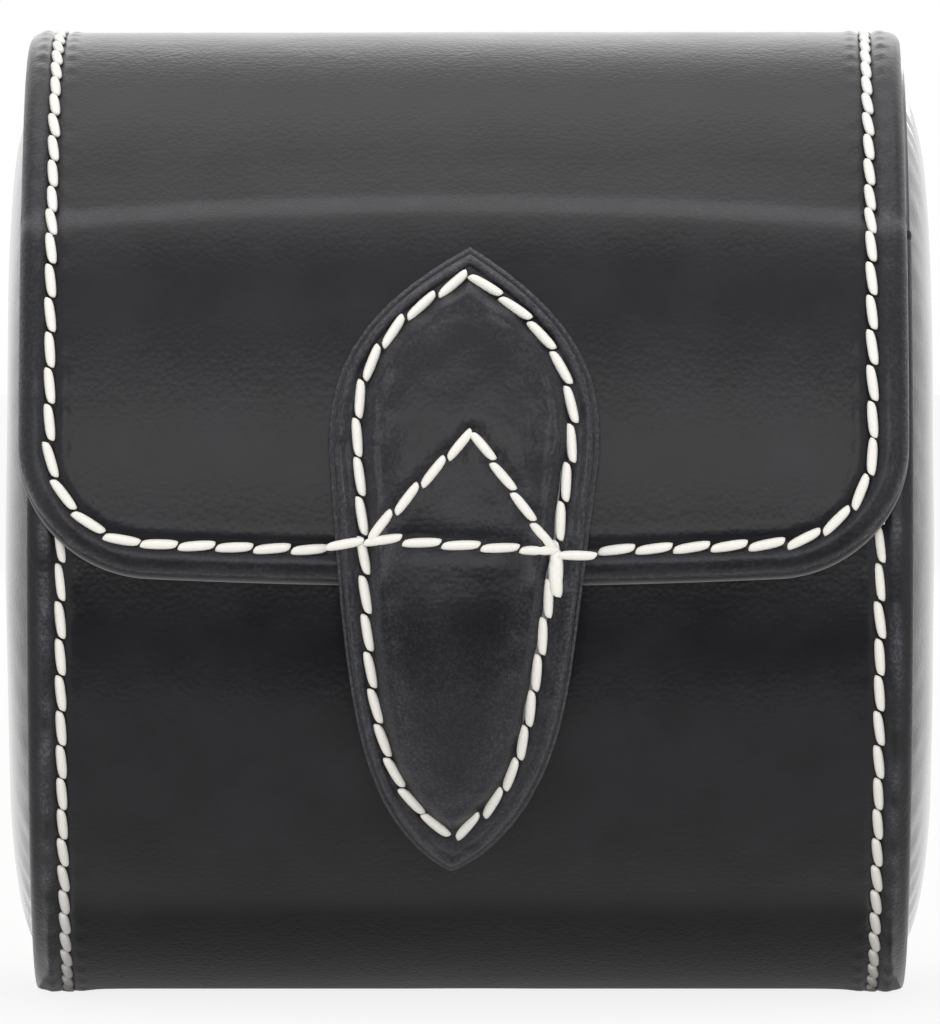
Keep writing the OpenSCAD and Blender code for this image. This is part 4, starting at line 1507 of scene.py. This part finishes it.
class WATCHCASE_OT_finishes(bpy.types.Operator):
    """Make every finish, and give the hidden boards, foams and metals theirs."""

    bl_idname = "watchcase.finishes"
    bl_label = "Finishes"

    def execute(self, context):
        colours = context.scene.watchcase_colours
        full_grain_leather("full_grain_calf_leather", colours)
        full_grain_leather("glazed_calf_leather", colours, 1.0)
        microsuede(colours)
        waxed_thread(colours)
        board = bookbinding_board(colours)
        foam = open_cell_foam(colours)
        steel = plated_metal("zinc_plated_steel", colours.steel, 0.34, 0.6 * MM)
        nickel = plated_metal("nickel_plated_magnet", colours.nickel, 0.2, 0.9 * MM)
        hidden = {
            board: ["drum_board", "end_board_left", "end_board_right", "flap_board"],
            foam: [
                "drum_padding", "end_padding_left", "end_padding_right", "tab_padding_upper",
                "tongue_padding",
            ],
            steel: ["catch_plate"],
            nickel: ["catch_magnet"],
        }
        for finish, names in hidden.items():
            for name in names:
                mesh = frame["nodes"][name].data
                mesh.materials.clear()
                mesh.materials.append(finish)
        return {"FINISHED"}


class WATCHCASE_OT_body(bpy.types.Operator):
    """Wrap the drum in leather, bind its mouth and sew its two seams."""

    bl_idname = "watchcase.body"
    bl_label = "Body leather"

    def execute(self, context):
        drum, stitch = context.scene.watchcase_drum, context.scene.watchcase_stitch
        wrap = make_body_leather(drum, stitch)
        edging = make_mouth_edging(drum)
        stitches = sew("body_stitches", body_seams(drum, stitch), thread(), stitch)
        for piece, slot, node in (
            (wrap, "leather", "body_wrap"),
            (edging, "leather", "mouth_edging"),
            (stitches, "thread", "body_seam_thread"),
        ):
            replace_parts(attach(piece, "case"), node)
        # The stitches underneath are pressed flat by the floor
        points = points_of(stitches.data)
        points[:, 2] = np.maximum(points[:, 2], 0)
        move_points(stitches.data, points)
        return {"FINISHED"}


class WATCHCASE_OT_ends(bpy.types.Operator):
    """Pad the two ends in leather."""

    bl_idname = "watchcase.ends"
    bl_label = "Padded ends"

    def execute(self, context):
        drum = context.scene.watchcase_drum
        for side, word in ((-1, "left"), (1, "right")):
            piece = make_end_leather(f"end_leather_{word}", side, drum)
            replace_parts(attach(piece, "case"), f"end_panel_{word}")
        return {"FINISHED"}


class WATCHCASE_OT_lining(bpy.types.Operator):
    """Line the drum and its ends in suede."""

    bl_idname = "watchcase.lining"
    bl_label = "Suede lining"

    def execute(self, context):
        drum = context.scene.watchcase_drum
        piece = make_drum_lining(drum)
        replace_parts(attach(piece, "case"), "drum_lining")
        for side, word in ((-1, "left"), (1, "right")):
            piece = make_end_lining(f"end_lining_suede_{word}", side, drum)
            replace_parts(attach(piece, "case"), f"end_lining_{word}")
        return {"FINISHED"}


class WATCHCASE_OT_flap(bpy.types.Operator):
    """Make the flap's leather, lining and stitches, which run from the hem back to the hinge."""

    bl_idname = "watchcase.flap"
    bl_label = "Flap"

    def execute(self, context):
        scene = context.scene
        flap, tab, stitch = scene.watchcase_flap, scene.watchcase_tab, scene.watchcase_stitch
        outer = make_flap_leather(flap, stitch)
        lining = make_flap_lining(flap, scene.watchcase_drum)
        stitches = sew("flap_stitches", flap_seams(flap, tab, stitch), thread(), stitch)
        for piece, slot, node in (
            (outer, "leather", "flap_leather"),
            (lining, "suede", "flap_lining"),
            (stitches, "thread", "flap_seam_thread"),
        ):
            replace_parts(piece, node)
            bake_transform(piece)
        return {"FINISHED"}


class WATCHCASE_OT_tab(bpy.types.Operator):
    """Make the padded closing tab, bending where its tongue leaves the hem."""

    bl_idname = "watchcase.tab"
    bl_label = "Closing tab"

    def execute(self, context):
        scene = context.scene
        flap, tab, stitch = scene.watchcase_flap, scene.watchcase_tab, scene.watchcase_stitch
        padded = make_tab_leather(tab, flap, stitch)
        backing = make_tab_backing(tab)
        stitches = sew("tab_stitches", tab_seams(tab, flap, stitch), thread(), stitch)
        for piece, slot, nodes in (
            (padded, "leather", ["tab_leather_upper", "tongue_leather"]),
            (backing, "leather", ["tab_backing_upper", "tongue_backing"]),
            (stitches, "thread", ["tab_seam_thread_upper", "tongue_seam_thread"]),
        ):
            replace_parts(piece, *nodes)
            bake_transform(piece)
        return {"FINISHED"}


class WATCHCASE_OT_cushion(bpy.types.Operator):
    """Stuff the loose watch cushion."""

    bl_idname = "watchcase.cushion"
    bl_label = "Cushion"

    def execute(self, context):
        scene = context.scene
        cover, foam = make_cushion(scene.watchcase_drum, scene.watchcase_cushion)
        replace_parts(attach(cover, "cushion"), *CUSHION_NODES)
        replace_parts(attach(foam, "cushion"), "cushion_core")
        return {"FINISHED"}


# Half the paper sweep, half the front card, the under card's rear edge, and their height above it
SWEEP_HALF, CARD_HALF, UNDER_CARD_REAR, CARD_LIFT = 3.0, 85 * MM, 30 * MM, 0.1 * MM


class WATCHCASE_OT_stage(bpy.types.Operator):
    """Set the case on a pale sweep in soft studio light, with a long lens in front."""

    bl_idname = "watchcase.stage"
    bl_label = "Stage"

    def execute(self, context):
        scene, stage = context.scene, context.scene.watchcase_stage
        paper = paper_sweep(scene.watchcase_colours)
        front_card = black_card("dark_card_front", 1.0)
        # The card under the case is painted shade, in place of its contact shadow in reflections
        under_card = black_card("dark_card_under", stage.under_cover)
        near, far, under = -stage.card_near, -stage.card_far, -stage.card_under
        for name, half, front, back, z, finish in (
            ("paper_sweep", SWEEP_HALF, -SWEEP_HALF, SWEEP_HALF, 0, paper),
            ("dark_card_front", CARD_HALF, far, near, CARD_LIFT, front_card),
            ("dark_card_under", BODY_HALF, under, UNDER_CARD_REAR, CARD_LIFT, under_card),
        ):
            mesh = bpy.data.meshes.new(name)
            mesh.from_pydata(
                [(-half, front, z), (half, front, z), (half, back, z), (-half, back, z)],
                [], [(0, 1, 2, 3)],
            )
            mesh.materials.append(finish)
            add_object(name, mesh)

        world = bpy.data.worlds.new("studio")
        scene.world = world
        world.use_nodes = True
        tree = world.node_tree
        tree.nodes.clear()
        strength = add_node(tree, "ShaderNodeMapRange", (seen_white(tree), 0, 1, stage.sky, 1))
        sky = add_node(tree, "ShaderNodeBackground", (WHITE, strength.outputs[0]))
        add_node(tree, "ShaderNodeOutputWorld", {"Surface": sky.outputs[0]})

        centre = Vector((0, 0, AXIS_Z))
        for name, place, size, power in (
            ("top_softbox", (0.0, 0.05, 0.9), 0.8, stage.top_light),
            ("rim_softbox", (0.0, 1.3, 0.5), 0.7, stage.rim_light),
            ("front_softbox", (0.0, -2.3, 0.62), 1.6, stage.front_light),
        ):
            lamp = bpy.data.lights.new(name, "AREA")
            lamp.energy, lamp.size = power, size
            aim(add_object(name, lamp), Vector(place), centre)

        lens = bpy.data.cameras.new("front_view")
        lens.sensor_width = 36
        lens.lens = lens.sensor_width * stage.distance / stage.view_height
        lens.clip_start, lens.clip_end = 0.05, 20
        scene.camera = add_object("front_view", lens)
        back = Vector((0, -math.cos(stage.elevation), math.sin(stage.elevation)))
        target = Vector((0, 0, stage.aim_height))
        aim(scene.camera, target + back * stage.distance, target)
        scene.view_settings.view_transform = "Standard"
        return {"FINISHED"}


def aim(thing, place, target):
    """Puts a lamp or a camera at a place, facing a target."""
    thing.location = place
    thing.rotation_euler = (target - place).to_track_quat("-Z", "Y").to_euler()


def seen_white(tree):
    """1 for rays from the camera or off something glossy or clear, and 0 for lighting rays."""
    ray = add_node(tree, "ShaderNodeLightPath").outputs
    seen = ray["Is Camera Ray"]
    for kind in ("Is Glossy Ray", "Is Transmission Ray"):
        seen = add_node(tree, "ShaderNodeMath", (seen, ray[kind]), operation="MAXIMUM").outputs[0]
    return seen


def end_in_mix(tree, share, first, second):
    """Ends a material in two shaders, with a share of the second."""
    parts = [node.outputs[0] for node in (share, first, second)]
    both = add_node(tree, "ShaderNodeMixShader", parts)
    add_node(tree, "ShaderNodeOutputMaterial", {"Surface": both.outputs[0]})


def paper_sweep(colours):
    """Matt white background paper that stays white to the camera and keeps a soft shadow."""
    finish, tree = start_finish("background_paper")
    paper = add_node(tree, "ShaderNodeBsdfPrincipled", {
        "Base Color": colours.floor, "Roughness": 0.9,
    })
    glow = add_node(tree, "ShaderNodeEmission", (WHITE, 1.0))
    share = add_node(tree, "ShaderNodeMath", (seen_white(tree), 0.85), operation="MULTIPLY")
    end_in_mix(tree, share, paper, glow)
    return finish


def black_card(name, cover):
    """Matt black card that only shows in reflections. The leather mirrors it under the flap, which
    sets the flap off from the body, and underneath. The card under the case is painted shade: it
    stands in for the case's contact shadow, which the glowing paper hides from reflections."""
    finish, tree = start_finish(name)
    card = add_node(tree, "ShaderNodeBsdfPrincipled", {
        "Base Color": (0.01, 0.01, 0.01), "Roughness": 0.9,
    })
    clear = add_node(tree, "ShaderNodeBsdfTransparent")
    mirrored = add_node(tree, "ShaderNodeLightPath").outputs["Is Glossy Ray"]
    share = add_node(tree, "ShaderNodeMath", (mirrored, cover), operation="MULTIPLY")
    end_in_mix(tree, share, clear, card)
    return finish


class WATCHCASE_PT_panel(bpy.types.Panel):
    """Buttons for the case's pieces."""

    bl_idname = "WATCHCASE_PT_panel"
    bl_label = "Watch case"
    bl_space_type = "VIEW_3D"
    bl_region_type = "UI"
    bl_category = "Watch case"

    def draw(self, context):
        for operator in OPERATORS:
            self.layout.operator(operator.bl_idname)


OPERATORS = (
    WATCHCASE_OT_finishes, WATCHCASE_OT_body, WATCHCASE_OT_ends, WATCHCASE_OT_lining,
    WATCHCASE_OT_flap, WATCHCASE_OT_tab, WATCHCASE_OT_cushion, WATCHCASE_OT_stage,
)
SETTINGS = {
    "watchcase_drum": DrumSizes, "watchcase_flap": FlapSizes, "watchcase_tab": TabSizes,
    "watchcase_stitch": StitchSizes, "watchcase_cushion": CushionSizes,
    "watchcase_colours": CaseColours, "watchcase_stage": StageSettings,
}


def register():
    """Registers the classes and gives every scene their settings."""
    for kind in (*SETTINGS.values(), *OPERATORS, WATCHCASE_PT_panel):
        bpy.utils.register_class(kind)
    for name, kind in SETTINGS.items():
        setattr(bpy.types.Scene, name, PointerProperty(type=kind))


def unregister():
    """Takes the settings and the classes away again."""
    for name in SETTINGS:
        delattr(bpy.types.Scene, name)
    for kind in (WATCHCASE_PT_panel, *reversed(OPERATORS), *reversed(SETTINGS.values())):
        bpy.utils.unregister_class(kind)


def main():
    """Makes every piece and the stage."""
    register()
    for operator in OPERATORS:
        getattr(bpy.ops.watchcase, operator.bl_idname.split(".")[1])()


if __name__ == "__main__":
    main()
